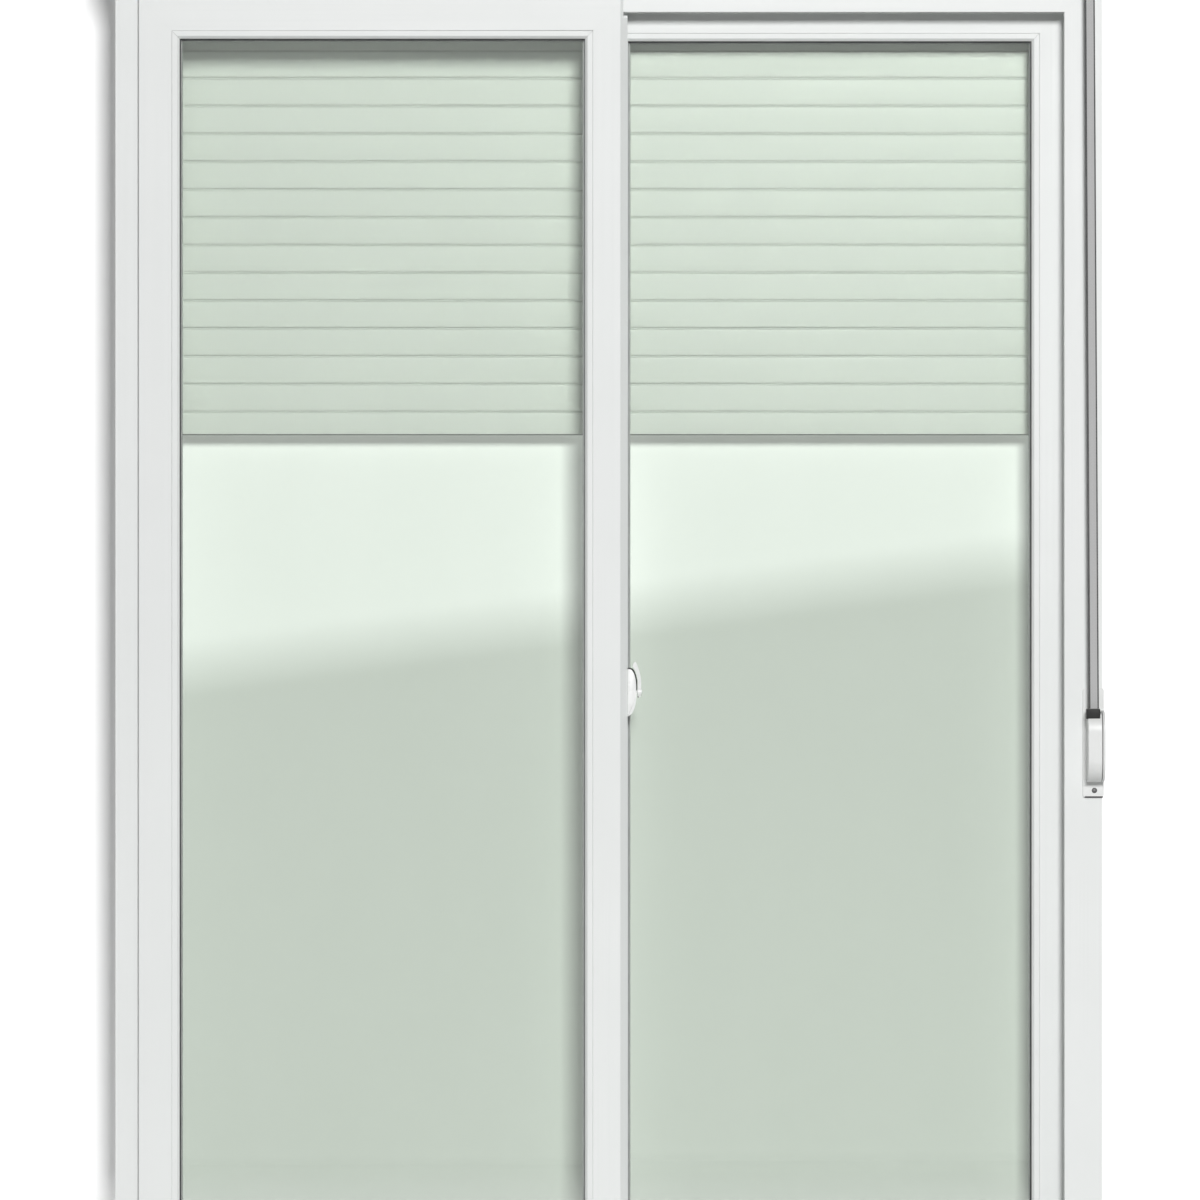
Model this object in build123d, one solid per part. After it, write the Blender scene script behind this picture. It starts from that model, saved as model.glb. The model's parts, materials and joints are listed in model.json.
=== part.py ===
from build123d import *
import math
import os

# A white PVC sliding door with two leaves, and the roller shutter outside it.
# Millimetres. X runs right as seen from the room, Y runs outwards, Z runs up.
# The origin is the centre of the sill's underside, halfway through the frame's depth.

# Fixed frame
frame_width = 1600
frame_height = 2150
base_thickness = 32
flange_reach = 62
flange_thickness = 10
rear_lip_thickness = 9
rear_lip_reach = 50
rail_height = 4
rail_foot = 1.5
rail_bead = 5
fixing_hole_radius = 5
fixing_hole_heights = (250, 1075, 1900)

# Clearances between the frame and the sliding leaves
slide_gap = 5
edge_gap = 6
crest_gap = 8
roller_gap = 0.3
leaf_spacing = 16
outer_leaf_shift = 7
edge_ease = 1

# Leaf profile, seen from the leaf's outer edge inwards and from its room face outwards
leaf_depth = 40
cover_thickness = 5
body_width = 54
meeting_reach = 28
bead_width = 12.4
bead_depth = 8
bead_bevel = 4
joint_line = 0.6
rear_stop_thickness = 4
rear_stop_width = 14
gasket_thickness = 2
gasket_width = 14
gasket_edge = 2
mitre_gap = 0.2

# Double glazing
pane_thickness = 4
glass_edge_gap = 4
spacer_edge_gap = 7
spacer_width = 12

# Interlock on the meeting stiles
interlock_cut = 9
interlock_reach = 2.4
interlock_slope = 10.5
interlock_step = 0.5
interlock_wall = 2
hook_offset = 10
hook_lap = 4
hook_depth = 11
clip_leg_length = 12

# Rollers under each leaf
roller_end_distance = 130
roller_tread_radius = 9
roller_tread_width = 2.4
roller_rim_radius = 11
roller_width = 8
roller_side_gap = 0.6
roller_axle_radius = 2.5
axle_hole_gap = 0.3
housing_length = 64
housing_width = 16
housing_height = 19
housing_gap = 6
pocket_end_gap = 3

# Lock on the inner leaf's interlock
lock_height = 986.5
lock_base_length = 79
lock_base_reach = 15
lock_base_depth = 24
lock_distance_from_face = 20
lever_thickness = 10
lever_base_gap = 1.5
lever_wall = 5.7
lever_length = 49.3
lever_tip_inset = 3.5
lever_nose_inset = 6.5
lever_nose_drop = 2.6
lever_hook_inset = 7.6
lever_hook_height = 40.5
lever_flare_inset = 2.4
lever_flare_middle = 30.5
lever_flare_height = 18.5
lever_tail = 8
lever_foot_taper = 2
lock_edge_radius = 1.5
pin_radius = 2.5
pin_gap = 0.3
pin_head_radius = 4
pin_head_height = 1.4

# Shutter guides on the frame's outer face
guide_width = 53
guide_depth = 28
guide_slot_width = 13
guide_slot_depth = 25
curtain_end_gap = 8
brush_groove = 3
brush_groove_from_mouth = 6

# Shutter curtain
hanging_slats = 17
slat_thickness = 9
slat_bottom_thickness = 8.6
slat_body_height = 43
slat_shoulder = 3.4
slat_shoulder_radius = 3.57
slat_joint_gap = 2.5
end_slat_height = 36
jaw_lip = 1.2
jaw_slot = 3.2
jaw_overlap = 0.02
jaw_chamber_width = 6.4
jaw_chamber_height = 4.3
neck_width = 2
head_width = 5.6
head_height = 2.5
head_seat_gap = 0.3
stop_from_end = 93
stop_height = 17
stop_washer_radius = 9
stop_bolt_radius = 5
stop_washer_thickness = 1.2
stop_bolt_height = 3
stop_buffer_radius = 11
stop_buffer_length = 22
stop_sink = 0.3

# Roller, wound curtain and strap pulley
tube_across_flats = 50
tube_sides = 8
tube_wall = 1.5
tube_end_gap = 8
axle_radius = 6
winding_pitch = 9.4
roll_gap = 1
anchor_turn = 40
pulley_gap = 0.7
pulley_width = 21
pulley_flange = 1.5
pulley_core_radius = 63.5
pulley_rim_radius = 77
strap_coil_thickness = 3.5

# Shutter box on top of the frame
box_height = 183.5
box_panel = 10
box_cap = 8
box_back_reach = 85
box_slot_gap = 7.5
box_edge_radius = 4
cap_boss_radius = 14
left_boss_length = 5
right_boss_length = 2

# Pull strap and its guide
strap_width = 18
strap_thickness = 1.3
strap_turn = 22
strap_top_inset = 22
strap_mouth_inset = 15
strap_guide_length = 40
strap_guide_width = 22
strap_guide_thickness = 4
strap_slot_length = 24
strap_slot_width = 12

# Strap winder on the right jamb
winder_plate_width = 34
winder_plate_height = 177.5
winder_plate_thickness = 3
winder_plate_corner = 4
winder_plate_inset = 14.6
winder_plate_below = 25.3
winder_case_from_plate = 6.1
winder_case_width = 23
winder_case_bottom = 841
winder_case_height = 116
winder_case_depth = 45
winder_case_corner = 34
winder_case_edge = 1.5
winder_seam = 1
winder_cheek_width = 3.9
mouth_width = 22
mouth_depth = 16
mouth_height = 15.4
mouth_rise = 3
mouth_slot_gap = 0.5
mouth_floor_thickness = 2

# Depth of the frame: two leaves, the space between them and the lip that holds the outer one
frame_depth = 2 * leaf_depth - cover_thickness + leaf_spacing + rear_lip_thickness
frame_face = -frame_depth / 2
frame_back = frame_depth / 2
inner_face = frame_face - slide_gap - cover_thickness
outer_face = inner_face + leaf_depth + leaf_spacing
inner_rib = frame_face
outer_rib = outer_face + cover_thickness + slide_gap
groove_width = flange_thickness + 2 * slide_gap

# Outlines of the two leaves: left, right, bottom, top
leaf_inset = base_thickness + edge_gap
groove_depth = flange_reach - leaf_inset + crest_gap
half_width = frame_width / 2
leaf_width = half_width - leaf_inset + meeting_reach
leaf_bottom = leaf_inset
leaf_top = frame_height - leaf_inset
inner_left = -half_width + leaf_inset
outer_right = half_width - leaf_inset - outer_leaf_shift
inner_rect = (inner_left, inner_left + leaf_width, leaf_bottom, leaf_top)
outer_rect = (outer_right - leaf_width, outer_right, leaf_bottom, leaf_top)
frame_rect = (-half_width, half_width, 0, frame_height)

# Planes of the glazing, measured from a leaf's room face
front_gasket_at = bead_depth
front_pane_at = front_gasket_at + gasket_thickness
rear_gasket_at = leaf_depth - rear_stop_thickness - gasket_thickness
rear_pane_at = rear_gasket_at - pane_thickness
spacer_at = front_pane_at + pane_thickness
glass_inset = body_width + glass_edge_gap
spacer_inset = body_width + spacer_edge_gap

# Shutter planes
curtain_plane = frame_back + guide_depth / 2
guide_floor = half_width - guide_width + guide_slot_depth
curtain_half_width = guide_floor - curtain_end_gap
slat_pitch = slat_body_height + slat_joint_gap
box_bottom = frame_height
box_top = box_bottom + box_height
axis_z = box_bottom + box_height / 2
cap_inside = half_width - box_cap

# The curtain hangs from the roll's outermost joint, half a slat below the roller's axis
curtain_joint_z = axis_z - slat_pitch / 2
first_slat_bottom = curtain_joint_z - hanging_slats * slat_pitch
curtain_bottom = first_slat_bottom - slat_joint_gap - end_slat_height

# The roll stands as far forward as the box allows, so that its outer turn falls into the guides
roll_radius = box_height / 2 - box_panel - slat_thickness / 2 - roll_gap
roll_axis_y = curtain_plane - math.sqrt(roll_radius**2 - (slat_pitch / 2) ** 2)
box_face = roll_axis_y - roll_radius - slat_thickness / 2 - roll_gap - box_panel
tube_corner_radius = tube_across_flats / 2 / math.cos(math.pi / tube_sides)
pulley_right = cap_inside - right_boss_length - pulley_gap
pulley_left = pulley_right - pulley_width
pulley_middle = pulley_right - pulley_width / 2

# The strap falls from the room side of its coil on the pulley
strap_coil_radius = pulley_core_radius + strap_coil_thickness
strap_y = roll_axis_y - strap_coil_radius + strap_thickness / 2
strap_top_x = half_width - strap_top_inset
strap_mouth_x = half_width - strap_mouth_inset
mouth_top = winder_case_bottom + winder_case_height + mouth_rise
mouth_floor = mouth_top - mouth_height + mouth_floor_thickness
winder_plate_x = half_width - winder_plate_inset
winder_case_left = winder_plate_x - winder_plate_width / 2 + winder_case_from_plate
winder_case_y = frame_face - winder_plate_thickness - winder_case_depth / 2

# Rollers
roller_axle_z = flange_reach + roller_gap + roller_tread_radius
roller_housing_bottom = flange_reach + housing_gap


def side_plane(side, rect):
    """Plane and length of one side: x runs inwards from the outline, y outdoors, z along the side."""
    left, right, bottom, top = rect
    if side == "left":
        return Plane(origin=(left, 0, bottom), x_dir=(1, 0, 0), z_dir=(0, 0, 1)), top - bottom
    if side == "right":
        return Plane(origin=(right, 0, top), x_dir=(-1, 0, 0), z_dir=(0, 0, -1)), top - bottom
    if side == "top":
        return Plane(origin=(left, 0, top), x_dir=(0, 0, -1), z_dir=(1, 0, 0)), right - left
    return Plane(origin=(right, 0, bottom), x_dir=(0, 0, 1), z_dir=(-1, 0, 0)), right - left


def mitred_member(side, rect, section, gap=0):
    """A length of profile along one side of an outline, with both ends cut at 45 degrees."""
    plane, length = side_plane(side, rect)
    reach = section.bounding_box().max.X + 1
    bar = extrude(section, length)
    corners = [(0, gap), (reach, reach + gap), (reach, length - reach - gap), (0, length - gap)]
    ends = make_face(Polyline(*corners, close=True))
    trim = extrude(Plane.XZ * ends, 2 * frame_depth, both=True)
    return plane.location * (bar & trim)


def box_between(low, high):
    """A box between two opposite corners."""
    size = [b - a for a, b in zip(low, high)]
    centre = [(a + b) / 2 for a, b in zip(low, high)]
    return Pos(*centre) * Box(*size)


def ring_between(rect, outer_inset, inner_inset, front, back):
    """A rectangular ring that follows an outline at two insets."""
    left, right, bottom, top = rect
    outside = box_between(
        (left + outer_inset, front, bottom + outer_inset), (right - outer_inset, back, top - outer_inset)
    )
    inside = box_between(
        (left + inner_inset, front - 1, bottom + inner_inset),
        (right - inner_inset, back + 1, top - inner_inset),
    )
    return outside - inside


def frame_section(rib_reach):
    """Frame profile with a flat room flange, a second rib and an outer lip."""
    points = [
        (0, frame_face),
        (rib_reach - edge_ease, frame_face),
        (rib_reach, frame_face + edge_ease),
        (rib_reach, frame_face + flange_thickness),
        (base_thickness, frame_face + flange_thickness),
        (base_thickness, outer_rib),
        (rib_reach, outer_rib),
        (rib_reach, outer_rib + flange_thickness),
        (base_thickness, outer_rib + flange_thickness),
        (base_thickness, frame_back - rear_lip_thickness),
        (rear_lip_reach, frame_back - rear_lip_thickness),
        (rear_lip_reach, frame_back),
        (0, frame_back),
    ]
    return make_face(Polyline(*points, close=True))


def leaf_section(face):
    """Leaf profile: a cover flange, a groove that rides over the frame's rib, a body and a rear stop."""
    back = face + leaf_depth
    stop_reach = body_width + rear_stop_width
    points = [
        (0, face + edge_ease),
        (edge_ease, face),
        (body_width - joint_line, face),
        (body_width, face + joint_line),
        (body_width, back - rear_stop_thickness),
        (stop_reach, back - rear_stop_thickness),
        (stop_reach, back),
        (0, back),
        (0, face + cover_thickness + groove_width),
        (groove_depth, face + cover_thickness + groove_width),
        (groove_depth, face + cover_thickness),
        (0, face + cover_thickness),
    ]
    return make_face(Polyline(*points, close=True))


def bead_section(face):
    """Glazing bead with a bevelled inner edge."""
    inner = body_width + bead_width
    points = [
        (body_width, face + joint_line),
        (body_width + joint_line, face),
        (inner - bead_bevel, face),
        (inner, face + bead_bevel),
        (inner, face + bead_depth),
        (body_width, face + bead_depth),
    ]
    return make_face(Polyline(*points, close=True))


def frame_members():
    """Head, sill and jambs. The sill's ribs are lower by the height of the track rails."""
    full = frame_section(flange_reach)
    low = frame_section(flange_reach - rail_height)
    jambs = {}
    for side, name in (("left", "frame_left_jamb"), ("right", "frame_right_jamb")):
        jamb = mitred_member(side, frame_rect, full)
        between_leaves = outer_face - leaf_spacing / 2
        for height in fixing_hole_heights:
            drill = Rot(0, 90, 0) * Cylinder(fixing_hole_radius, 2 * frame_width)
            jamb -= Pos(0, between_leaves, height) * drill
        jambs[name] = jamb
    return {
        "frame_head": mitred_member("top", frame_rect, full),
        "frame_sill": mitred_member("bottom", frame_rect, low),
        **jambs,
    }


def track_rails():
    """A round-topped rail on each of the sill's two ribs."""
    half = flange_thickness / 2
    bead = rail_bead / 2
    seat = flange_reach - rail_height
    outline = [
        Line((-half, 0), (half, 0)),
        Line((half, 0), (half, rail_foot)),
        Line((half, rail_foot), (bead, rail_foot)),
        ThreePointArc((bead, rail_foot), (0, rail_height), (-bead, rail_foot)),
        Line((-bead, rail_foot), (-half, rail_foot)),
        Line((-half, rail_foot), (-half, 0)),
    ]
    section = make_face(Curve() + outline)
    rails = []
    for rib in (inner_rib, outer_rib):
        rail = extrude(Plane.YZ * section, half_width - flange_reach, both=True)
        rails.append(Pos(0, rib + half, seat) * rail)
    return Compound(rails)


def roller_positions(rect):
    left, right = rect[0], rect[1]
    return (left + roller_end_distance, right - roller_end_distance)


def leaf_members(rect, face, meeting_side):
    """Two rails and two stiles, cut back at the meeting side for the interlock, and pocketed for rollers."""
    left, right, bottom, top = rect
    section = leaf_section(face)
    back = face + leaf_depth
    if meeting_side == "right":
        strip = (right - interlock_cut, right + 1)
    else:
        strip = (left - 1, left + interlock_cut)
    cut = box_between((strip[0], face - 1, bottom - 1), (strip[1], back + 1, top + 1))
    members = {}
    for side, name in (
        ("top", "top_rail"),
        ("bottom", "bottom_rail"),
        ("left", "left_stile"),
        ("right", "right_stile"),
    ):
        members[name] = mitred_member(side, rect, section) - cut
    pocket_half = housing_length / 2 + pocket_end_gap
    roof = roller_housing_bottom + housing_height
    for x in roller_positions(rect):
        members["bottom_rail"] -= box_between(
            (x - pocket_half, face + cover_thickness, bottom + groove_depth - 1),
            (x + pocket_half, face + cover_thickness + groove_width, roof),
        )
    return members


def rollers(rect, face):
    """A grooved wheel on its axle in a housing, near each end of the bottom rail."""
    middle = face + cover_thickness + groove_width / 2
    axle_z = roller_axle_z
    base = roller_housing_bottom
    solids = []
    for x in roller_positions(rect):
        housing = box_between(
            (x - housing_length / 2, middle - housing_width / 2, base),
            (x + housing_length / 2, middle + housing_width / 2, base + housing_height),
        )
        slot_half = roller_width / 2 + roller_side_gap
        slot_reach = roller_rim_radius + 2 * roller_side_gap
        housing -= box_between(
            (x - slot_reach, middle - slot_half, base - 1),
            (x + slot_reach, middle + slot_half, axle_z + slot_reach),
        )
        bore = Cylinder(roller_axle_radius + axle_hole_gap, 2 * housing_width)
        housing -= Pos(x, middle, axle_z) * Rot(90, 0, 0) * bore
        half = roller_width / 2
        wheel_section = make_face(
            Polyline(
                (0, -half),
                (roller_rim_radius, -half),
                (roller_rim_radius, -half + roller_side_gap),
                (roller_tread_radius, -roller_tread_width / 2),
                (roller_tread_radius, roller_tread_width / 2),
                (roller_rim_radius, half - roller_side_gap),
                (roller_rim_radius, half),
                (0, half),
                close=True,
            )
        )
        wheel = revolve(Plane.XZ * wheel_section, Axis.Z)
        wheel += Cylinder(roller_axle_radius, housing_width)
        solids += [housing, Pos(x, middle, axle_z) * Rot(90, 0, 0) * wheel]
    return Compound(solids)


def glass_panes(rect, face):
    """The two panes of the double glazing."""
    left, right, bottom, top = rect
    panes = []
    for start in (front_pane_at, rear_pane_at):
        panes.append(
            box_between(
                (left + glass_inset, face + start, bottom + glass_inset),
                (right - glass_inset, face + start + pane_thickness, top - glass_inset),
            )
        )
    return Compound(panes)


def glass_spacer(rect, face):
    far = spacer_inset + spacer_width
    return ring_between(rect, spacer_inset, far, face + spacer_at, face + rear_pane_at)


def gaskets(rect, face):
    """Black seals before and behind the double glazing."""
    near = body_width + gasket_edge
    far = near + gasket_width
    rings = []
    for start in (front_gasket_at, rear_gasket_at):
        front = face + start
        rings.append(ring_between(rect, near, far, front, front + gasket_thickness))
    return Compound(rings)


def beads(rect, face):
    section = bead_section(face)
    sides = ("left", "right", "top", "bottom")
    return Compound([mitred_member(side, rect, section, mitre_gap) for side in sides])


def interlock(rect, face, meeting_side):
    """A slanted cover on the meeting stile with a hooked fin that reaches behind the other leaf's fin."""
    inner = meeting_side == "right"
    edge = rect[1] if inner else -rect[0]
    hook_face = face + leaf_depth if inner else face
    far = -leaf_depth
    cut = edge - interlock_cut
    nose = edge + interlock_reach
    wall = interlock_wall
    points = [
        (cut, far + interlock_step),
        (nose, far + interlock_step + interlock_slope),
        (nose, wall),
        (hook_offset + wall, wall),
        (hook_offset + wall, hook_depth),
        (-hook_lap, hook_depth),
        (-hook_lap, hook_depth - wall),
        (hook_offset, hook_depth - wall),
        (hook_offset, 0),
        (cut, 0),
    ]
    profile = make_face(Polyline(*points, close=True))
    groove_low = far + cover_thickness if inner else -cover_thickness - groove_width
    groove_high = groove_low + groove_width
    for start in (groove_low + mitre_gap, groove_high - mitre_gap - wall):
        leg = Pos(cut - clip_leg_length / 2, start + wall / 2) * Rectangle(clip_leg_length, wall)
        profile += leg
    height = leaf_top - leaf_bottom
    bar = extrude(profile, height)
    for level in (groove_depth / 2 - 1, height - groove_depth / 2 + 1):
        notch = Box(4 * edge, groove_width, groove_depth + 2)
        bar -= Pos(cut + 2 * edge - clip_leg_length - 1, (groove_low + groove_high) / 2, level) * notch
    turn = 0 if inner else 180
    return Pos(0, hook_face, leaf_bottom) * Rot(0, 0, turn) * bar


def lock_place():
    """Places the lock's pieces: x out from the interlock's side, z up from the lever's pivot."""
    return Pos(inner_rect[1] + interlock_reach, inner_face + lock_distance_from_face, lock_height)


def along_x(start, end, radius):
    """A round bar along X."""
    return Pos((start + end) / 2, 0, 0) * Rot(0, 90, 0) * Cylinder(radius, end - start)


def along_y(start, end, radius):
    """A round bar along Y."""
    return Pos(0, (start + end) / 2, 0) * Rot(90, 0, 0) * Cylinder(radius, end - start)


def lock_base():
    """A half-oval boss on the interlock's side with the pin that the lever turns on."""
    oval = Ellipse(lock_base_reach, lock_base_length / 2)
    oval &= Pos(lock_base_reach, 0) * Rectangle(2 * lock_base_reach, 2 * lock_base_length)
    boss = extrude(Plane.XZ * oval, lock_base_depth / 2, both=True)
    rims = boss.edges().filter_by(GeomType.ELLIPSE)
    boss = fillet(rims, lock_edge_radius)
    lever_outside = lock_base_reach + lever_base_gap + lever_wall
    pin = along_x(lock_base_reach / 2, lever_outside + pin_gap, pin_radius)
    head = along_x(lever_outside + pin_gap, lever_outside + pin_gap + pin_head_height, pin_head_radius)
    return lock_place() * (boss + pin + head)


def lock_lever():
    """A crescent lever that turns on the pin, with its tip curled over the boss."""
    near = lock_base_reach + lever_base_gap
    far = near + lever_wall
    foot = (far - lever_foot_taper, -lever_tail)
    tip = (near - lever_tip_inset, lever_length)
    hook = (near - lever_hook_inset, lever_hook_height)
    neck = (near, lever_flare_height)
    outline = [
        Line((near, -lever_tail), foot),
        ThreePointArc(foot, (far, lever_length / 3), tip),
        ThreePointArc(tip, (near - lever_nose_inset, lever_length - lever_nose_drop), hook),
        ThreePointArc(hook, (near - lever_flare_inset, lever_flare_middle), neck),
        Line(neck, (near, -lever_tail)),
    ]
    blade = extrude(Plane.XZ * make_face(Curve() + outline), lever_thickness / 2, both=True)
    hub = along_x(near, far, lever_tail)
    bore = along_x(near - 1, far + 1, pin_radius + pin_gap)
    return lock_place() * (blade + hub - bore)


def shutter_guides():
    """Channels on the frame's outer face that the curtain's ends run in."""
    guides = {}
    slot_low = curtain_plane - guide_slot_width / 2
    for name, sign in (("left_shutter_guide", -1), ("right_shutter_guide", 1)):
        inner = sign * (half_width - guide_width)
        outer = sign * half_width
        low, high = min(inner, outer), max(inner, outer)
        guide = box_between((low, frame_back, 0), (high, frame_back + guide_depth, frame_height))
        mouth = inner - sign
        floor = sign * guide_floor
        guide -= box_between(
            (min(mouth, floor), slot_low, -1),
            (max(mouth, floor), slot_low + guide_slot_width, frame_height + 1),
        )
        groove_inner = sign * (half_width - guide_width + brush_groove_from_mouth)
        groove_outer = groove_inner + sign * brush_groove
        guide -= box_between(
            (min(groove_inner, groove_outer), slot_low - brush_groove, -1),
            (
                max(groove_inner, groove_outer),
                slot_low + guide_slot_width + brush_groove,
                frame_height + 1,
            ),
        )
        guides[name] = guide
    return guides


def jaw_cut():
    """The slot and chamber at a slat's bottom that hold the head of the slat below."""
    slot = Pos(0, jaw_lip / 2) * Rectangle(jaw_slot, jaw_lip + jaw_overlap)
    chamber = Pos(0, jaw_lip + jaw_chamber_height / 2) * Rectangle(jaw_chamber_width, jaw_chamber_height)
    return slot + chamber


def slat_section(height, with_jaw):
    """Slat profile with curved faces, shoulders, neck and head: x outdoors, y up from the bottom edge."""
    bottom = slat_bottom_thickness / 2
    middle = slat_thickness / 2
    neck = neck_width / 2
    head = head_width / 2
    shoulder = height - slat_shoulder
    head_bottom = height + slat_joint_gap + jaw_lip + head_seat_gap
    head_top = head_bottom + head_height
    right_side = [
        Line((0, 0), (bottom, 0)),
        ThreePointArc((bottom, 0), (middle, height / 2), (bottom, shoulder)),
        RadiusArc((bottom, shoulder), (neck, height), -slat_shoulder_radius),
        Line((neck, height), (neck, head_bottom)),
        Line((neck, head_bottom), (head, head_bottom)),
        Line((head, head_bottom), (head, head_top)),
        Line((head, head_top), (0, head_top)),
        Line((0, head_top), (0, 0)),
    ]
    half = make_face(Curve() + right_side)
    profile = half + mirror(half, Plane.YZ)
    if with_jaw:
        profile -= jaw_cut()
    return profile


def shutter_slats():
    """The slats that hang between the roller and the end slat, each hooked into the one above."""
    slat = extrude(Plane.YZ * slat_section(slat_body_height, True), curtain_half_width, both=True)
    return Compound(
        [Pos(0, curtain_plane, first_slat_bottom + i * slat_pitch) * slat for i in range(hanging_slats)]
    )


def end_slat():
    """The closed bottom slat with its bolt, washer and the buffer that stops it under the box."""
    bar = extrude(Plane.YZ * slat_section(end_slat_height, False), curtain_half_width, both=True)
    half = slat_thickness / 2
    washer = along_y(-half - stop_washer_thickness, -half + stop_sink, stop_washer_radius)
    bolt = along_y(-half - stop_bolt_height, -half + stop_sink, stop_bolt_radius)
    buffer = along_y(half - stop_sink, half - stop_sink + stop_buffer_length, stop_buffer_radius)
    stop = Pos(-curtain_half_width + stop_from_end, 0, stop_height) * (washer + bolt + buffer)
    return Pos(0, curtain_plane, curtain_bottom) * (bar + stop)


def wound_joints():
    """Joints of the wound slats in the roller's plane, from the hanging curtain in to the tube."""
    radius = roll_radius
    angle = -math.asin(slat_pitch / 2 / roll_radius)
    innermost = math.hypot(tube_corner_radius + slat_thickness / 2 + head_seat_gap, slat_pitch / 2)
    joints = [(radius * math.cos(angle), radius * math.sin(angle))]
    while radius > innermost:
        step = 2 * math.asin(slat_pitch / (2 * radius))
        angle += step
        radius -= winding_pitch * step / (2 * math.pi)
        joints.append((radius * math.cos(angle), radius * math.sin(angle)))
    end_radius = tube_across_flats / 2 + slat_thickness / 2 + head_seat_gap
    angle += math.radians(anchor_turn)
    joints.append((end_radius * math.cos(angle), end_radius * math.sin(angle)))
    return joints, math.degrees(angle)


def wound_curtain():
    """The rest of the curtain, wound slat by slat, ending on a flat of the tube."""
    joints, _ = wound_joints()
    profile = None
    for (x0, y0), (x1, y1) in zip(joints, joints[1:]):
        length = math.hypot(x1 - x0, y1 - y0)
        turn = math.degrees(math.atan2(y1 - y0, x1 - x0))
        link = Rectangle(length, slat_thickness) + [
            Pos(end * length / 2, 0) * RegularPolygon(slat_thickness / 2, 8) for end in (-1, 1)
        ]
        link = Pos((x0 + x1) / 2, (y0 + y1) / 2) * Rot(0, 0, turn) * link
        profile = link if profile is None else profile + link
    x0, y0 = joints[0]
    lowest = Pos(x0, y0 - slat_thickness / 2) * Rectangle(2 * slat_thickness, slat_thickness)
    profile -= lowest
    profile -= Pos(x0, y0) * jaw_cut()
    roll = extrude(Plane.YZ * profile, curtain_half_width, both=True)
    return Pos(0, roll_axis_y, axis_z) * roll


def roller_tube():
    """Octagonal steel tube with plugged ends, on an axle that runs from cap to cap."""
    _, flat_angle = wound_joints()
    outer = Rot(0, 0, flat_angle + 180 / tube_sides) * RegularPolygon(tube_corner_radius, tube_sides)
    left = -cap_inside + tube_end_gap
    tube = Pos(left, 0, 0) * extrude(Plane.YZ * outer, pulley_left - left)
    inside = tube_across_flats / 2 - tube_wall
    tube -= along_x(left + tube_end_gap, pulley_left - tube_end_gap, inside)
    tube += along_x(-cap_inside, left + tube_end_gap, axle_radius)
    tube += along_x(pulley_left - tube_end_gap, cap_inside, axle_radius)
    return Pos(0, roll_axis_y, axis_z) * tube


def strap_pulley():
    """Flanged pulley beside the roll that the strap winds on."""
    pulley = along_x(pulley_left, pulley_right, pulley_core_radius)
    pulley += along_x(pulley_left, pulley_left + pulley_flange, pulley_rim_radius)
    pulley += along_x(pulley_right - pulley_flange, pulley_right, pulley_rim_radius)
    pulley -= along_x(pulley_left - 1, pulley_right + 1, axle_radius + axle_hole_gap)
    return Pos(0, roll_axis_y, axis_z) * pulley


def strap_cut(x, z, turn):
    """The strap's cross-section at a height."""
    return Pos(x, strap_y, z) * Rot(0, 0, turn) * Rectangle(strap_width, strap_thickness)


def pull_strap():
    """The taut strap from the coil on the pulley, through the guide, to the winder's mouth."""
    half = strap_width / 2
    coil = along_x(pulley_middle - half, pulley_middle + half, strap_coil_radius)
    coil -= along_x(pulley_left, pulley_right, pulley_core_radius)
    coil = Pos(0, roll_axis_y, axis_z) * coil
    guide_z = box_bottom - strap_guide_thickness
    at_guide = strap_cut(strap_top_x, guide_z, strap_turn)
    upper = loft([at_guide, strap_cut(pulley_middle, axis_z, 0)])
    lower = loft([strap_cut(strap_mouth_x, mouth_floor, strap_turn), at_guide])
    return coil + upper + lower


def eased_panel(panel, side):
    """A box panel with its long outer edges rounded."""
    long_edges = panel.edges().filter_by(Axis.X).group_by(Axis.Y)[side]
    return fillet(long_edges, box_edge_radius)


def shutter_box():
    """Panels of the box on top of the frame, between two end caps with bosses for the roller."""
    back_inside = box_back_reach - box_panel
    face_inside = box_face + box_panel
    slot_start = curtain_plane - slat_thickness / 2 - box_slot_gap
    ends = cap_inside
    front = box_between((-ends, box_face, box_bottom), (ends, face_inside, box_top))
    back = box_between((-ends, back_inside, box_bottom), (ends, box_back_reach, box_top))
    roof = box_between((-ends, face_inside, box_top - box_panel), (ends, back_inside, box_top))
    floor = box_between((-ends, face_inside, box_bottom), (ends, slot_start, box_bottom + box_panel))
    floor -= Pos(strap_top_x, strap_y, box_bottom) * Box(strap_slot_length, strap_slot_width, 4 * box_panel)
    parts = {
        "shutter_box_front": eased_panel(front, 0),
        "shutter_box_back": eased_panel(back, -1),
        "shutter_box_top": roof,
        "shutter_box_floor": floor,
    }
    for name, sign in (("shutter_box_left_cap", -1), ("shutter_box_right_cap", 1)):
        inside = sign * cap_inside
        outside = sign * half_width
        cap = box_between(
            (min(inside, outside), box_face, box_bottom), (max(inside, outside), box_back_reach, box_top)
        )
        cap = fillet(cap.edges().filter_by(Axis.X), box_edge_radius)
        length = left_boss_length if sign < 0 else right_boss_length
        tip = inside - sign * length
        boss = along_x(min(tip, inside), max(tip, inside), cap_boss_radius)
        boss -= along_x(min(tip, inside) - 1, max(tip, inside) + 1, axle_radius + axle_hole_gap)
        parts[name] = cap + Pos(0, roll_axis_y, axis_z) * boss
    return parts


def strap_guide():
    """Slotted bezel under the box floor that the strap runs through."""
    plate = Box(strap_guide_length, strap_guide_width, strap_guide_thickness)
    plate = fillet(plate.edges().filter_by(Axis.Z), strap_guide_width / 4)
    plate -= Box(strap_slot_length, strap_slot_width, 2 * strap_guide_thickness)
    return Pos(strap_top_x, strap_y, box_bottom - strap_guide_thickness / 2) * plate


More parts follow.
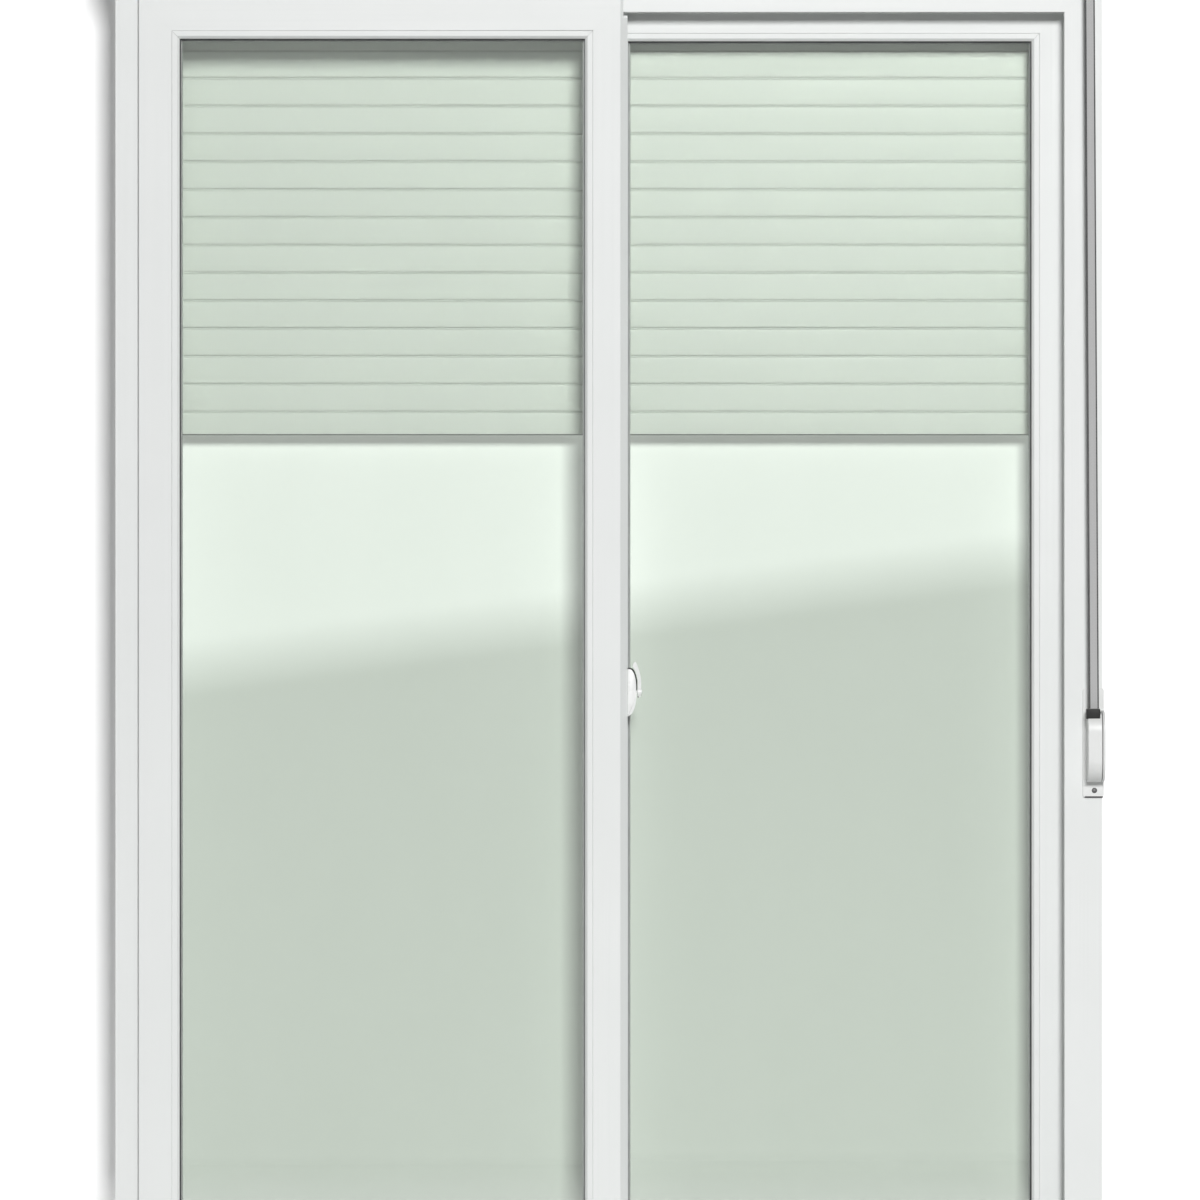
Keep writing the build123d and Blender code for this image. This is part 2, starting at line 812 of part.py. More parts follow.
def winder_plate():
    """Flat mounting plate on the right jamb."""
    plate = Box(winder_plate_width, winder_plate_thickness, winder_plate_height)
    plate = fillet(plate.edges().filter_by(Axis.Y), winder_plate_corner)
    plate = chamfer(plate.faces().sort_by(Axis.Y)[0].edges(), winder_case_edge / 2)
    middle = winder_case_bottom - winder_plate_below + winder_plate_height / 2
    return Pos(winder_plate_x, frame_face - winder_plate_thickness / 2, middle) * plate


def case_slab(width):
    """A D-shaped slab of the winder's case, x being its thickness."""
    slab = Box(width, winder_case_depth, winder_case_height)
    front_edges = slab.edges().filter_by(Axis.X).group_by(Axis.Y)[0]
    slab = fillet(front_edges, winder_case_corner)
    rims = slab.faces().sort_by(Axis.X)[0].edges() + slab.faces().sort_by(Axis.X)[-1].edges()
    rounded = [edge for edge in rims if edge.center().Y < winder_case_depth / 2 - 1]
    return fillet(rounded, winder_case_edge)


def winder_case():
    """The case that holds the strap's coil, with a separate cheek on its right."""
    z = winder_case_bottom + winder_case_height / 2
    body = Pos(winder_case_left + winder_case_width / 2, winder_case_y, z) * case_slab(winder_case_width)
    body -= mouth_block(mitre_gap)
    cheek_left = winder_case_left + winder_case_width + winder_seam
    cheek = Pos(cheek_left + winder_cheek_width / 2, winder_case_y, z) * case_slab(winder_cheek_width)
    return Compound([body, cheek])


def mouth_block(gap):
    """Outer block of the mouth, grown by a gap."""
    x = strap_mouth_x
    return box_between(
        (x - mouth_width / 2 - gap, strap_y - mouth_depth / 2 - gap, mouth_top - mouth_height - gap),
        (x + mouth_width / 2 + gap, strap_y + mouth_depth / 2 + gap, mouth_top + gap),
    )


def winder_mouth():
    """Black mouth in the top of the case with a slot for the strap."""
    height = 2 * mouth_height
    slot = Box(strap_width + 2 * mouth_slot_gap, strap_thickness + 2 * mouth_slot_gap, height)
    place = Pos(strap_mouth_x, strap_y, mouth_floor - mouth_slot_gap + height / 2) * Rot(0, 0, strap_turn)
    return mouth_block(0) - place * slot


def leaf_parts(prefix, rect, face, meeting_side):
    """All the nodes of one sliding leaf."""
    parts = {f"{prefix}_{name}": shape for name, shape in leaf_members(rect, face, meeting_side).items()}
    parts[f"{prefix}_beads"] = beads(rect, face)
    parts[f"{prefix}_gaskets"] = gaskets(rect, face)
    parts[f"{prefix}_glass"] = glass_panes(rect, face)
    parts[f"{prefix}_spacer"] = glass_spacer(rect, face)
    parts[f"{prefix}_interlock"] = interlock(rect, face, meeting_side)
    parts[f"{prefix}_rollers"] = rollers(rect, face)
    return parts


def all_parts():
    return {
        **frame_members(),
        "track_rails": track_rails(),
        **leaf_parts("inner_leaf", inner_rect, inner_face, "right"),
        **leaf_parts("outer_leaf", outer_rect, outer_face, "left"),
        "lock_base": lock_base(),
        "lock_lever": lock_lever(),
        **shutter_guides(),
        "shutter_slats": shutter_slats(),
        "shutter_end_slat": end_slat(),
        "wound_curtain": wound_curtain(),
        "roller_tube": roller_tube(),
        "strap_pulley": strap_pulley(),
        **shutter_box(),
        "pull_strap": pull_strap(),
        "strap_guide": strap_guide(),
        "winder_plate": winder_plate(),
        "winder_case": winder_case(),
        "winder_mouth": winder_mouth(),
    }


os.makedirs("parts", exist_ok=True)
for node, shape in all_parts().items():
    export_step(shape, f"parts/{node}.step")
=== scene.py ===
import json
import math

import bmesh
import bpy
from mathutils import Matrix, Vector

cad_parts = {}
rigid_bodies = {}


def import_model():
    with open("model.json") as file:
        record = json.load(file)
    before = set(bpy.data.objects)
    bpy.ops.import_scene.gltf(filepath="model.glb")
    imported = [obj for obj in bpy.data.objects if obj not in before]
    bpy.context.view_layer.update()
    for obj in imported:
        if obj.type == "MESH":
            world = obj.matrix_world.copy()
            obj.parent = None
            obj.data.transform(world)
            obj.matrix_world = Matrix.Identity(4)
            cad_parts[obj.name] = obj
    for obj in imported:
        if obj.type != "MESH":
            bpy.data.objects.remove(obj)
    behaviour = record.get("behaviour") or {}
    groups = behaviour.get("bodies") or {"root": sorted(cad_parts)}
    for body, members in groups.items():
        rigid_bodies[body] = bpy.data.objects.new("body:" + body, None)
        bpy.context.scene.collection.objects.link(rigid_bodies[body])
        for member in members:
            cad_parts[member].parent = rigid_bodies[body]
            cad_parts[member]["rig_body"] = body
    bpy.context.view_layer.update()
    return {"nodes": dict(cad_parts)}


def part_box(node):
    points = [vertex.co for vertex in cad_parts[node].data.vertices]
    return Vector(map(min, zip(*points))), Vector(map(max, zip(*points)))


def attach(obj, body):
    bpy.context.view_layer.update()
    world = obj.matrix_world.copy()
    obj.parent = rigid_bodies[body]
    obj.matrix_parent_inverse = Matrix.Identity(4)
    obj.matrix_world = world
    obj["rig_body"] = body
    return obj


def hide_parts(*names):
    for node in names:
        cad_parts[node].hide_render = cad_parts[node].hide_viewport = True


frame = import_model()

# Everything is in metres, X right as seen from the room, Y outwards, Z up.
MM = 0.001

# Camera: almost square on, far off, level with the middle of the picture
CAMERA_PLACE = (-0.0142, -12.06, 1.1357)
CAMERA_LENS = 222.2
SENSOR = 36

# Light: two soft lamps that aim at the middle of the door, and the surround straight ahead and elsewhere
LAMP_AIM = (0, 0, 1.15)
KEY_LAMP = {"azimuth": 8, "elevation": 20, "distance": 12.0, "size": 2.3, "power": 1075}
BACK_LAMP = {"azimuth": 200, "elevation": 35, "distance": 7.0, "size": 3.0, "power": 230}
AMBIENT_AHEAD = 0.03
AMBIENT_AROUND = 0.19

# Sizes of the leaves, the frame's profile, the slats and the strap
LEAF_WIDTH = 0.790
FRAME_BASE = 0.032
SLAT_PITCH = 0.0455
STRAP_WIDTH = 0.018
STRAP_THICKNESS = 0.0013
STRAP_YARNS = 14
STRAP_TURN = math.radians(22)

# The side on which each leaf meets the other
MEETING_SIDES = (("inner_leaf", "right"), ("outer_leaf", "left"))

# Colours
PVC_WHITE = (0.835, 0.85, 0.842, 1)
PVC_SHADE = (0.79, 0.81, 0.80, 1)
SLAT_WHITE = (0.73, 0.75, 0.72, 1)
SLAT_SHADE = (0.68, 0.70, 0.67, 1)
DUST = (0.60, 0.60, 0.57, 1)
FLOOR_LIT = ((0.84, 0.84, 0.84, 1), (0.88, 0.88, 0.88, 1))
FLOOR_SEEN = ((1.36, 1.36, 1.36, 1), (1.43, 1.43, 1.43, 1))
WALL_WHITE = (1.24, 1.24, 1.24, 1)
# painted shade: the wall's darker colour below a climbing line, seen only through the glass
WALL_PAINTED_SHADE_THROUGH_GLASS = (0.80, 0.82, 0.79, 1)

# Scale of the die lines on X, Y and Z, fine across an extrusion and long along it
ALONG_X = (1.5, 320.0, 320.0)
ALONG_Z = (320.0, 320.0, 1.5)
ALONG_BOTH = (2.5, 320.0, 2.5)
ALONG_SLAT = (1.5, 300.0, 300.0)


# node helpers


def add(tree, kind, inputs=None, **settings):
    """A node with its settings, and its inputs given as values or as sockets to link."""
    made = tree.nodes.new(kind)
    for name, value in settings.items():
        setattr(made, name, value)
    for key, value in (inputs or {}).items():
        if isinstance(value, bpy.types.NodeSocket):
            tree.links.new(value, made.inputs[key])
        else:
            made.inputs[key].default_value = value
    return made


def maths(tree, operation, *values):
    inputs = dict(enumerate(values))
    return add(tree, "ShaderNodeMath", inputs, operation=operation).outputs[0]


def in_range(tree, value, low, high, to_low=0.0, to_high=1.0):
    """A value brought from one range to another, held at the ends."""
    inputs = {"Value": value, "From Min": low, "From Max": high, "To Min": to_low, "To Max": to_high}
    return add(tree, "ShaderNodeMapRange", inputs).outputs["Result"]


def blend_colour(tree, factor, first, second):
    made = add(tree, "ShaderNodeMix", {0: factor, 6: first, 7: second}, data_type="RGBA")
    return made.outputs[2]


def noise(tree, vector, scale, detail=2.0, roughness=0.5):
    inputs = {"Vector": vector, "Scale": scale, "Detail": detail, "Roughness": roughness}
    return add(tree, "ShaderNodeTexNoise", inputs).outputs["Fac"]


def scaled(tree, vector, factors):
    inputs = {0: vector, 1: factors}
    return add(tree, "ShaderNodeVectorMath", inputs, operation="MULTIPLY").outputs[0]


def place(tree):
    return add(tree, "ShaderNodeTexCoord").outputs["Object"]


def axes_of(tree, vector):
    return add(tree, "ShaderNodeSeparateXYZ", {0: vector}).outputs


SOCKETS = {"float": "NodeSocketFloat", "colour": "NodeSocketColor", "vector": "NodeSocketVector"}


def effect_group(name, inputs, outputs):
    """An empty shader group with named sockets: the tree, its input node and its output node."""
    tree = bpy.data.node_groups.new(name, "ShaderNodeTree")
    for socket, kind in inputs:
        tree.interface.new_socket(socket, in_out="INPUT", socket_type=SOCKETS[kind])
    for socket, kind in outputs:
        tree.interface.new_socket(socket, in_out="OUTPUT", socket_type=SOCKETS[kind])
    return tree, tree.nodes.new("NodeGroupInput"), tree.nodes.new("NodeGroupOutput")


def give(tree, out, **values):
    for name, socket in values.items():
        tree.links.new(socket, out.inputs[name.replace("_", " ")])


def use(tree, group, **values):
    """A group placed in a material with that material's own values."""
    made = tree.nodes.new("ShaderNodeGroup")
    made.node_tree = group
    for name, value in values.items():
        socket = made.inputs[name.replace("_", " ")]
        if isinstance(value, bpy.types.NodeSocket):
            tree.links.new(value, socket)
        else:
            socket.default_value = value
    return made.outputs


# shared effects


def extruded_skin_group():
    """Faint die lines along an extrusion, slow changes of tint, and a fine orange peel."""
    tree, source, out = effect_group(
        "extruded skin",
        [("Colour", "colour"), ("Shade", "colour"), ("Stretch", "vector"), ("Gloss", "float")],
        [("Colour", "colour"), ("Roughness", "float"), ("Height", "float")],
    )
    here = place(tree)
    lines = noise(tree, scaled(tree, here, source.outputs["Stretch"]), 1.0, 1.0)
    clouds = noise(tree, here, 2.4, 2.0)
    peel = noise(tree, here, 1100.0, 0.0)
    cloudy = in_range(tree, clouds, 0.35, 0.7)
    lined = in_range(tree, lines, 0.35, 0.75, 0.0, 0.45)
    factor = maths(tree, "MAXIMUM", maths(tree, "MULTIPLY", cloudy, 0.7), lined)
    colour = blend_colour(tree, factor, source.outputs["Colour"], source.outputs["Shade"])
    rough = maths(tree, "ADD", source.outputs["Gloss"], in_range(tree, lines, 0.3, 0.8, -0.04, 0.09))
    height = maths(tree, "ADD", maths(tree, "MULTIPLY", lines, 0.6), maths(tree, "MULTIPLY", peel, 0.4))
    give(tree, out, Colour=colour, Roughness=rough, Height=height)
    return tree


def weld_line_group():
    """The scraped line where mitred profiles are welded at the corners of an outline."""
    tree, source, out = effect_group(
        "weld line",
        [(side, "float") for side in ("Left", "Right", "Bottom", "Top", "Half Width")],
        [("Line", "float")],
    )
    axes = axes_of(tree, place(tree))
    inset_x = maths(
        tree,
        "MINIMUM",
        maths(tree, "SUBTRACT", axes["X"], source.outputs["Left"]),
        maths(tree, "SUBTRACT", source.outputs["Right"], axes["X"]),
    )
    inset_z = maths(
        tree,
        "MINIMUM",
        maths(tree, "SUBTRACT", axes["Z"], source.outputs["Bottom"]),
        maths(tree, "SUBTRACT", source.outputs["Top"], axes["Z"]),
    )
    apart = maths(tree, "ABSOLUTE", maths(tree, "SUBTRACT", inset_x, inset_z))
    ratio = maths(tree, "DIVIDE", apart, source.outputs["Half Width"])
    give(tree, out, Line=in_range(tree, ratio, 0.4, 1.0, 1.0, 0.0))
    return tree


def settled_dust_group():
    """Dust that lies thicker on ledges and gathers in soft patches."""
    tree, source, out = effect_group(
        "settled dust", [("Amount", "float"), ("Patch Scale", "float")], [("Dust", "float")]
    )
    facing = add(tree, "ShaderNodeNewGeometry").outputs["Normal"]
    up = axes_of(tree, facing)["Z"]
    ledge = in_range(tree, up, 0.25, 0.95, 0.12, 1.0)
    patches = noise(tree, place(tree), source.outputs["Patch Scale"], 2.0, 0.6)
    patchy = in_range(tree, patches, 0.38, 0.7)
    dust = maths(tree, "MULTIPLY", maths(tree, "MULTIPLY", ledge, patchy), source.outputs["Amount"])
    give(tree, out, Dust=dust)
    return tree


def drawn_metal_group():
    """Fine scratches drawn along a metal bar, with duller spots."""
    tree, source, out = effect_group(
        "drawn metal",
        [("Colour", "colour"), ("Dull", "colour"), ("Stretch", "vector"), ("Spot Scale", "float")],
        [("Colour", "colour"), ("Roughness", "float"), ("Height", "float")],
    )
    here = place(tree)
    scratches = noise(tree, scaled(tree, here, source.outputs["Stretch"]), 1.0, 4.0, 0.65)
    spots = noise(tree, here, source.outputs["Spot Scale"], 3.0, 0.6)
    factor = maths(
        tree,
        "ADD",
        in_range(tree, scratches, 0.4, 0.8, 0.0, 0.5),
        in_range(tree, spots, 0.45, 0.75, 0.0, 0.5),
    )
    colour = blend_colour(tree, factor, source.outputs["Colour"], source.outputs["Dull"])
    give(
        tree,
        out,
        Colour=colour,
        Roughness=in_range(tree, factor, 0.0, 1.0, 0.26, 0.55),
        Height=scratches,
    )
    return tree


def moulded_grain_group():
    """The fine spark-eroded grain of moulded plastic and rubber, rubbed paler in patches."""
    tree, source, out = effect_group(
        "moulded grain",
        [("Colour", "colour"), ("Rubbed", "colour"), ("Grain Scale", "float")],
        [("Colour", "colour"), ("Roughness", "float"), ("Height", "float")],
    )
    here = place(tree)
    cells = add(
        tree, "ShaderNodeTexVoronoi", {"Vector": here, "Scale": source.outputs["Grain Scale"]}
    ).outputs["Distance"]
    rub = noise(tree, here, 38.0, 3.0, 0.6)
    colour = blend_colour(
        tree, in_range(tree, rub, 0.45, 0.8), source.outputs["Colour"], source.outputs["Rubbed"]
    )
    give(
        tree,
        out,
        Colour=colour,
        Roughness=in_range(tree, rub, 0.3, 0.8, 0.5, 0.34),
        Height=cells,
    )
    return tree


def slat_tint_group():
    """A slightly different tint for each slat, and a painted shade that darkens each slat along its bottom
    edge.
    """
    tree, source, out = effect_group(
        "slat tint",
        [("Bottom", "float"), ("Pitch", "float")],
        [("Tint", "float"), ("Edge Grime", "float")],
    )
    height = axes_of(tree, place(tree))["Z"]
    rows = maths(
        tree, "DIVIDE", maths(tree, "SUBTRACT", height, source.outputs["Bottom"]), source.outputs["Pitch"]
    )
    number = maths(tree, "FLOOR", rows)
    drawn = add(tree, "ShaderNodeTexWhiteNoise", {"W": number}, noise_dimensions="1D").outputs["Value"]
    along = maths(tree, "FRACT", rows)
    painted_edge_shade = in_range(tree, along, 0.0, 0.1, 1.0, 0.0)
    give(tree, out, Tint=drawn, Edge_Grime=painted_edge_shade)
    return tree


def strap_weave_group():
    """A ribbed weave with dark edge yarns, on the strap's own map: u runs across it, v along it in metres."""
    tree, source, out = effect_group(
        "strap weave",
        [
            ("Yarn", "colour"),
            ("Shadow", "colour"),
            ("Edge Yarn", "colour"),
            ("Edge Start", "float"),
            ("Edge End", "float"),
            ("Yarns Across", "float"),
            ("Pick Length", "float"),
        ],
        [("Colour", "colour"), ("Height", "float")],
    )
    spots = add(tree, "ShaderNodeUVMap").outputs[0]
    axes = axes_of(tree, spots)
    across, along = axes["X"], axes["Y"]
    picks = maths(tree, "DIVIDE", along, source.outputs["Pick Length"])
    warp = maths(tree, "MULTIPLY", across, source.outputs["Yarns Across"])
    shifted = maths(tree, "ADD", picks, maths(tree, "MULTIPLY", maths(tree, "FLOOR", warp), 0.5))
    bump_along = maths(tree, "ABSOLUTE", maths(tree, "SINE", maths(tree, "MULTIPLY", shifted, math.pi)))
    bump_across = maths(tree, "ABSOLUTE", maths(tree, "SINE", maths(tree, "MULTIPLY", warp, math.pi)))
    height = maths(tree, "MULTIPLY", bump_along, bump_across)
    body = blend_colour(
        tree, in_range(tree, height, 0.05, 0.6), source.outputs["Shadow"], source.outputs["Yarn"]
    )
    from_middle = maths(tree, "ABSOLUTE", maths(tree, "SUBTRACT", across, 0.5))
    edge = in_range(tree, from_middle, source.outputs["Edge Start"], source.outputs["Edge End"])
    colour = blend_colour(tree, edge, body, source.outputs["Edge Yarn"])
    give(tree, out, Colour=colour, Height=height)
    return tree


EXTRUDED_SKIN = extruded_skin_group()
WELD_LINE = weld_line_group()
SETTLED_DUST = settled_dust_group()
DRAWN_METAL = drawn_metal_group()
MOULDED_GRAIN = moulded_grain_group()
SLAT_TINT = slat_tint_group()
STRAP_WEAVE = strap_weave_group()


# finishes


def new_finish(name):
    """A material with its Principled surface."""
    material = bpy.data.materials.new(name)
    material.use_nodes = True
    tree = material.node_tree
    surface = tree.nodes["Principled BSDF"]
    return material, tree, surface


def coloured(tree, surface, colour, roughness):
    tree.links.new(colour, surface.inputs["Base Color"])
    tree.links.new(roughness, surface.inputs["Roughness"])


def bumped(tree, surface, height, distance, strength):
    bump = add(tree, "ShaderNodeBump", {"Height": height, "Distance": distance, "Strength": strength})
    tree.links.new(bump.outputs["Normal"], surface.inputs["Normal"])


def pvc_finish(name, stretch, outline=None, colour=PVC_WHITE, shade=PVC_SHADE, gloss=0.48, dust=0.35):
    """White PVC profile: die lines along it, dust on ledges, and weld lines at an outline's corners."""
    material, tree, surface = new_finish(name)
    skin = use(tree, EXTRUDED_SKIN, Colour=colour, Shade=shade, Stretch=stretch, Gloss=gloss)
    powder = use(tree, SETTLED_DUST, Amount=dust, Patch_Scale=7.0)
    tint = blend_colour(tree, powder["Dust"], skin["Colour"], DUST)
    height = skin["Height"]
    if outline:
        left, right, bottom, top = outline
        weld = use(tree, WELD_LINE, Left=left, Right=right, Bottom=bottom, Top=top, Half_Width=0.5 * MM)
        tint = blend_colour(tree, maths(tree, "MULTIPLY", weld["Line"], 0.08), tint, DUST)
        height = maths(tree, "SUBTRACT", height, maths(tree, "MULTIPLY", weld["Line"], 0.5))
    coloured(tree, surface, tint, skin["Roughness"])
    bumped(tree, surface, height, 0.12 * MM, 0.35)
    return material


def slat_finish(name, bottom):
    """Pale PVC slats, each with its own slight tint."""
    material, tree, surface = new_finish(name)
    skin = use(
        tree, EXTRUDED_SKIN, Colour=SLAT_WHITE, Shade=SLAT_SHADE, Stretch=ALONG_SLAT, Gloss=0.36
    )
    rows = use(tree, SLAT_TINT, Bottom=bottom, Pitch=SLAT_PITCH)
    varied = blend_colour(tree, maths(tree, "MULTIPLY", rows["Tint"], 0.45), skin["Colour"], SLAT_SHADE)
    # painted shade: each slat is darkened along its bottom edge, where the joint below it falls into shade
    with_painted_edge_shade = blend_colour(tree, maths(tree, "MULTIPLY", rows["Edge Grime"], 0.25), varied, DUST)
    coloured(tree, surface, with_painted_edge_shade, skin["Roughness"])
    bumped(tree, surface, skin["Height"], 0.12 * MM, 0.3)
    return material


def metal_finish(name, colour, dull, stretch, spots=20.0):
    material, tree, surface = new_finish(name)
    drawn = use(tree, DRAWN_METAL, Colour=colour, Dull=dull, Stretch=stretch, Spot_Scale=spots)
    coloured(tree, surface, drawn["Colour"], drawn["Roughness"])
    surface.inputs["Metallic"].default_value = 1.0
    bumped(tree, surface, drawn["Height"], 0.05 * MM, 0.4)
    return material


def painted_metal_finish(name, colour, shade):
    """White powder coat: a fine orange peel under a light coat, with dust."""
    material, tree, surface = new_finish(name)
    grain = use(tree, MOULDED_GRAIN, Colour=colour, Rubbed=shade, Grain_Scale=1500.0)
    powder = use(tree, SETTLED_DUST, Amount=0.25, Patch_Scale=30.0)
    dusty = blend_colour(tree, powder["Dust"], grain["Colour"], DUST)
    coloured(tree, surface, dusty, in_range(tree, grain["Roughness"], 0.3, 0.5, 0.2, 0.32))
    surface.inputs["Coat Weight"].default_value = 0.3
    bumped(tree, surface, grain["Height"], 0.04 * MM, 0.3)
    return material


def moulded_finish(name, colour, rubbed, grain_scale, depth=0.06 * MM, specular=0.5):
    """Plastic or rubber from a mould, with dust on its ledges."""
    material, tree, surface = new_finish(name)
    grain = use(tree, MOULDED_GRAIN, Colour=colour, Rubbed=rubbed, Grain_Scale=grain_scale)
    powder = use(tree, SETTLED_DUST, Amount=0.3, Patch_Scale=25.0)
    coloured(tree, surface, blend_colour(tree, powder["Dust"], grain["Colour"], DUST), grain["Roughness"])
    surface.inputs["Specular IOR Level"].default_value = specular
    bumped(tree, surface, grain["Height"], depth, 0.4)
    return material


def strap_finish():
    material, tree, surface = new_finish("woven strap")
    weave = use(
        tree,
        STRAP_WEAVE,
        Yarn=(0.66, 0.66, 0.66, 1),
        Shadow=(0.36, 0.36, 0.36, 1),
        Edge_Yarn=(0.035, 0.035, 0.037, 1),
        Edge_Start=0.345,
        Edge_End=0.36,
        Yarns_Across=STRAP_YARNS,
        Pick_Length=2.4 * MM,
    )
    tree.links.new(weave["Colour"], surface.inputs["Base Color"])
    surface.inputs["Roughness"].default_value = 0.85
    surface.inputs["Sheen Weight"].default_value = 0.3
    bumped(tree, surface, weave["Height"], 0.2 * MM, 0.7)
    return material


def glass_finish():
    """Double glazing panes: faintly green, clear to lamps and to the light that walls throw back."""
    material, tree, surface = new_finish("clear glass")
    smears = noise(tree, scaled(tree, place(tree), (1.0, 1.0, 0.35)), 6.0, 2.0, 0.6)
    tint = blend_colour(
        tree, in_range(tree, smears, 0.4, 0.8), (0.895, 0.922, 0.893, 1), (0.888, 0.916, 0.886, 1)
    )
    tree.links.new(tint, surface.inputs["Base Color"])
    tree.links.new(in_range(tree, smears, 0.6, 0.9, 0.0, 0.012), surface.inputs["Roughness"])
    surface.inputs["Transmission Weight"].default_value = 1.0
    surface.inputs["IOR"].default_value = 1.45
    clear = add(tree, "ShaderNodeBsdfTransparent", {"Color": (0.97, 0.98, 0.97, 1)})
    path = add(tree, "ShaderNodeLightPath").outputs
    passing = maths(tree, "MAXIMUM", path["Is Shadow Ray"], path["Is Diffuse Ray"])
    mixed = add(
        tree, "ShaderNodeMixShader", {0: passing, 1: surface.outputs[0], 2: clear.outputs[0]}
    )
    tree.links.new(mixed.outputs[0], tree.nodes["Material Output"].inputs["Surface"])
    return material


def set_finish(material, *nodes):
    for name in nodes:
        slots = frame["nodes"][name].data.materials
        if not len(slots):
            slots.append(material)
        for index in range(len(slots)):
            slots[index] = material


# outlines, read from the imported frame


def frame_outline():
    low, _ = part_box("frame_left_jamb")
    _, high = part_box("frame_right_jamb")
    return (low.x, high.x, low.z, high.z)


def leaf_outline(prefix, meeting_side):
    if meeting_side == "right":
        low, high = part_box(prefix + "_left_stile")
        return (low.x, low.x + LEAF_WIDTH, low.z, high.z)
    low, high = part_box(prefix + "_right_stile")
    return (high.x - LEAF_WIDTH, high.x, low.z, high.z)


# pieces as meshes


def new_piece(name, mesh, body, material):
    """A finished mesh as a piece of the object that rides on a body."""
    piece = bpy.data.objects.new(name, mesh)
    bpy.context.scene.collection.objects.link(piece)
    if material is not None:
        mesh.materials.clear()
        mesh.materials.append(material)
    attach(piece, body)
    return piece


def evaluated_mesh(thing):
    """The mesh of an object with its modifiers worked in. The object is then removed."""
    bpy.context.view_layer.update()
    graph = bpy.context.evaluated_depsgraph_get()
    mesh = bpy.data.meshes.new_from_object(thing.evaluated_get(graph), depsgraph=graph)
    bpy.data.objects.remove(thing)
    return mesh


def loose_object(name, mesh):
    thing = bpy.data.objects.new(name, mesh)
    bpy.context.scene.collection.objects.link(thing)
    return thing


def mesh_of(build, name):
    """A mesh made by a function that fills a bmesh, with its faces turned outwards."""
    work = bmesh.new()
    build(work)
    bmesh.ops.remove_doubles(work, verts=work.verts, dist=1e-7)
    bmesh.ops.recalc_face_normals(work, faces=work.faces)
    mesh = bpy.data.meshes.new(name)
    work.to_mesh(mesh)
    work.free()
    return mesh


def joined_mesh(name, meshes):
    """Several meshes as one."""
    work = bmesh.new()
    for mesh in meshes:
        work.from_mesh(mesh)
    joined = bpy.data.meshes.new(name)
    work.to_mesh(joined)
    work.free()
    return joined


def smooth_mesh(mesh, angle=35):
    """Smooth shading with sharp edges kept where faces meet at more than an angle."""
    mesh.shade_smooth()
    mesh.set_sharp_from_angle(angle=math.radians(angle))
    return mesh


def eased_copy(node, width, ways):
    """A CAD node's own shape, rounded along the sharp edges that run one of the given ways, as a die leaves
    them. Ways are 0 for X, 1 for Y and 2 for Z."""
    sharpest = math.radians(28)
    straight = 0.98
    work = bmesh.new()
    work.from_mesh(frame["nodes"][node].data)
    bmesh.ops.remove_doubles(work, verts=work.verts, dist=2e-6)
    bmesh.ops.dissolve_limit(
        work, angle_limit=math.radians(0.6), verts=work.verts, edges=work.edges, delimit={"NORMAL"}
    )
    weight = work.edges.layers.float.new("bevel_weight_edge")
    for edge in work.edges:
        if len(edge.link_faces) == 2 and edge.calc_face_angle() > sharpest:
            run = (edge.verts[1].co - edge.verts[0].co).normalized()
            edge[weight] = 1.0 if max(abs(run[way]) for way in ways) > straight else 0.0
    mesh = bpy.data.meshes.new(node + "_eased")
    work.to_mesh(mesh)
    work.free()
    thing = loose_object(node + "_work", mesh)
    bevel = thing.modifiers.new("edge", "BEVEL")
    bevel.width = width
    bevel.segments = 2
    bevel.limit_method = "WEIGHT"
    return flat_faced(smooth_mesh(evaluated_mesh(thing), 50), node)


def flat_faced(mesh, name):
    """Normals that leave broad faces flat, so that only the narrow roundings between them turn the light."""
    thing = loose_object(name + "_flat", mesh)
    weigh = thing.modifiers.new("flat faces", "WEIGHTED_NORMAL")
    weigh.keep_sharp = True
    weigh.weight = 100
    return evaluated_mesh(thing)


def ease_nodes(nodes, width, material, ways=(0, 1, 2)):
    """Rounded stand-ins for several CAD nodes, all in one finish."""
    for node in nodes:
        body = frame["nodes"][node]["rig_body"]
        piece = new_piece(node + "_profile", eased_copy(node, width, ways), body, material)
        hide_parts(node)


def turned(profile, segments):
    """A solid turned about Z from (radius, height) points, from the bottom of its axis to the top."""

    def build(work):
        rings = []
        for radius, height in profile:
            if radius < 1e-9:
                rings.append([work.verts.new((0, 0, height))])
                continue
            ring = []
            for i in range(segments):
                angle = 2 * math.pi * i / segments
                ring.append(work.verts.new((radius * math.cos(angle), radius * math.sin(angle), height)))
            rings.append(ring)
        for below, above in zip(rings, rings[1:]):
            for i in range(segments):
                corners = [
                    below[i % len(below)],
                    below[(i + 1) % len(below)],
                    above[(i + 1) % len(above)],
                    above[i % len(above)],
                ]
                unique = list(dict.fromkeys(corners))
                if len(unique) > 2:
                    work.faces.new(unique)

    return mesh_of(build, "turned")


def bar_mesh(section, start, end, axis="X"):
    """A closed bar with one section, given as (Y, Z) points along X or as (X, Y) points along Z."""

    def build(work):
        ends = []
        for at in (start, end):
            if axis == "X":
                ring = [work.verts.new((at, a, b)) for a, b in section]
            else:
                ring = [work.verts.new((a, b, at)) for a, b in section]
            ends.append(ring)
        count = len(section)
        for i in range(count):
            j = (i + 1) % count
            work.faces.new((ends[0][i], ends[0][j], ends[1][j], ends[1][i]))
        work.faces.new(ends[0])
        work.faces.new(list(reversed(ends[1])))

    return mesh_of(build, "bar")


def block_mesh(size, edge, segments):
    """A small moulded block, round at every edge."""

    def build(work):
        bmesh.ops.create_cube(work, size=1)
        bmesh.ops.scale(work, vec=size, verts=work.verts)
        bmesh.ops.bevel(
            work, geom=work.edges[:], offset=edge, segments=segments, profile=0.5, affect="EDGES"
        )

    return mesh_of(build, "block")


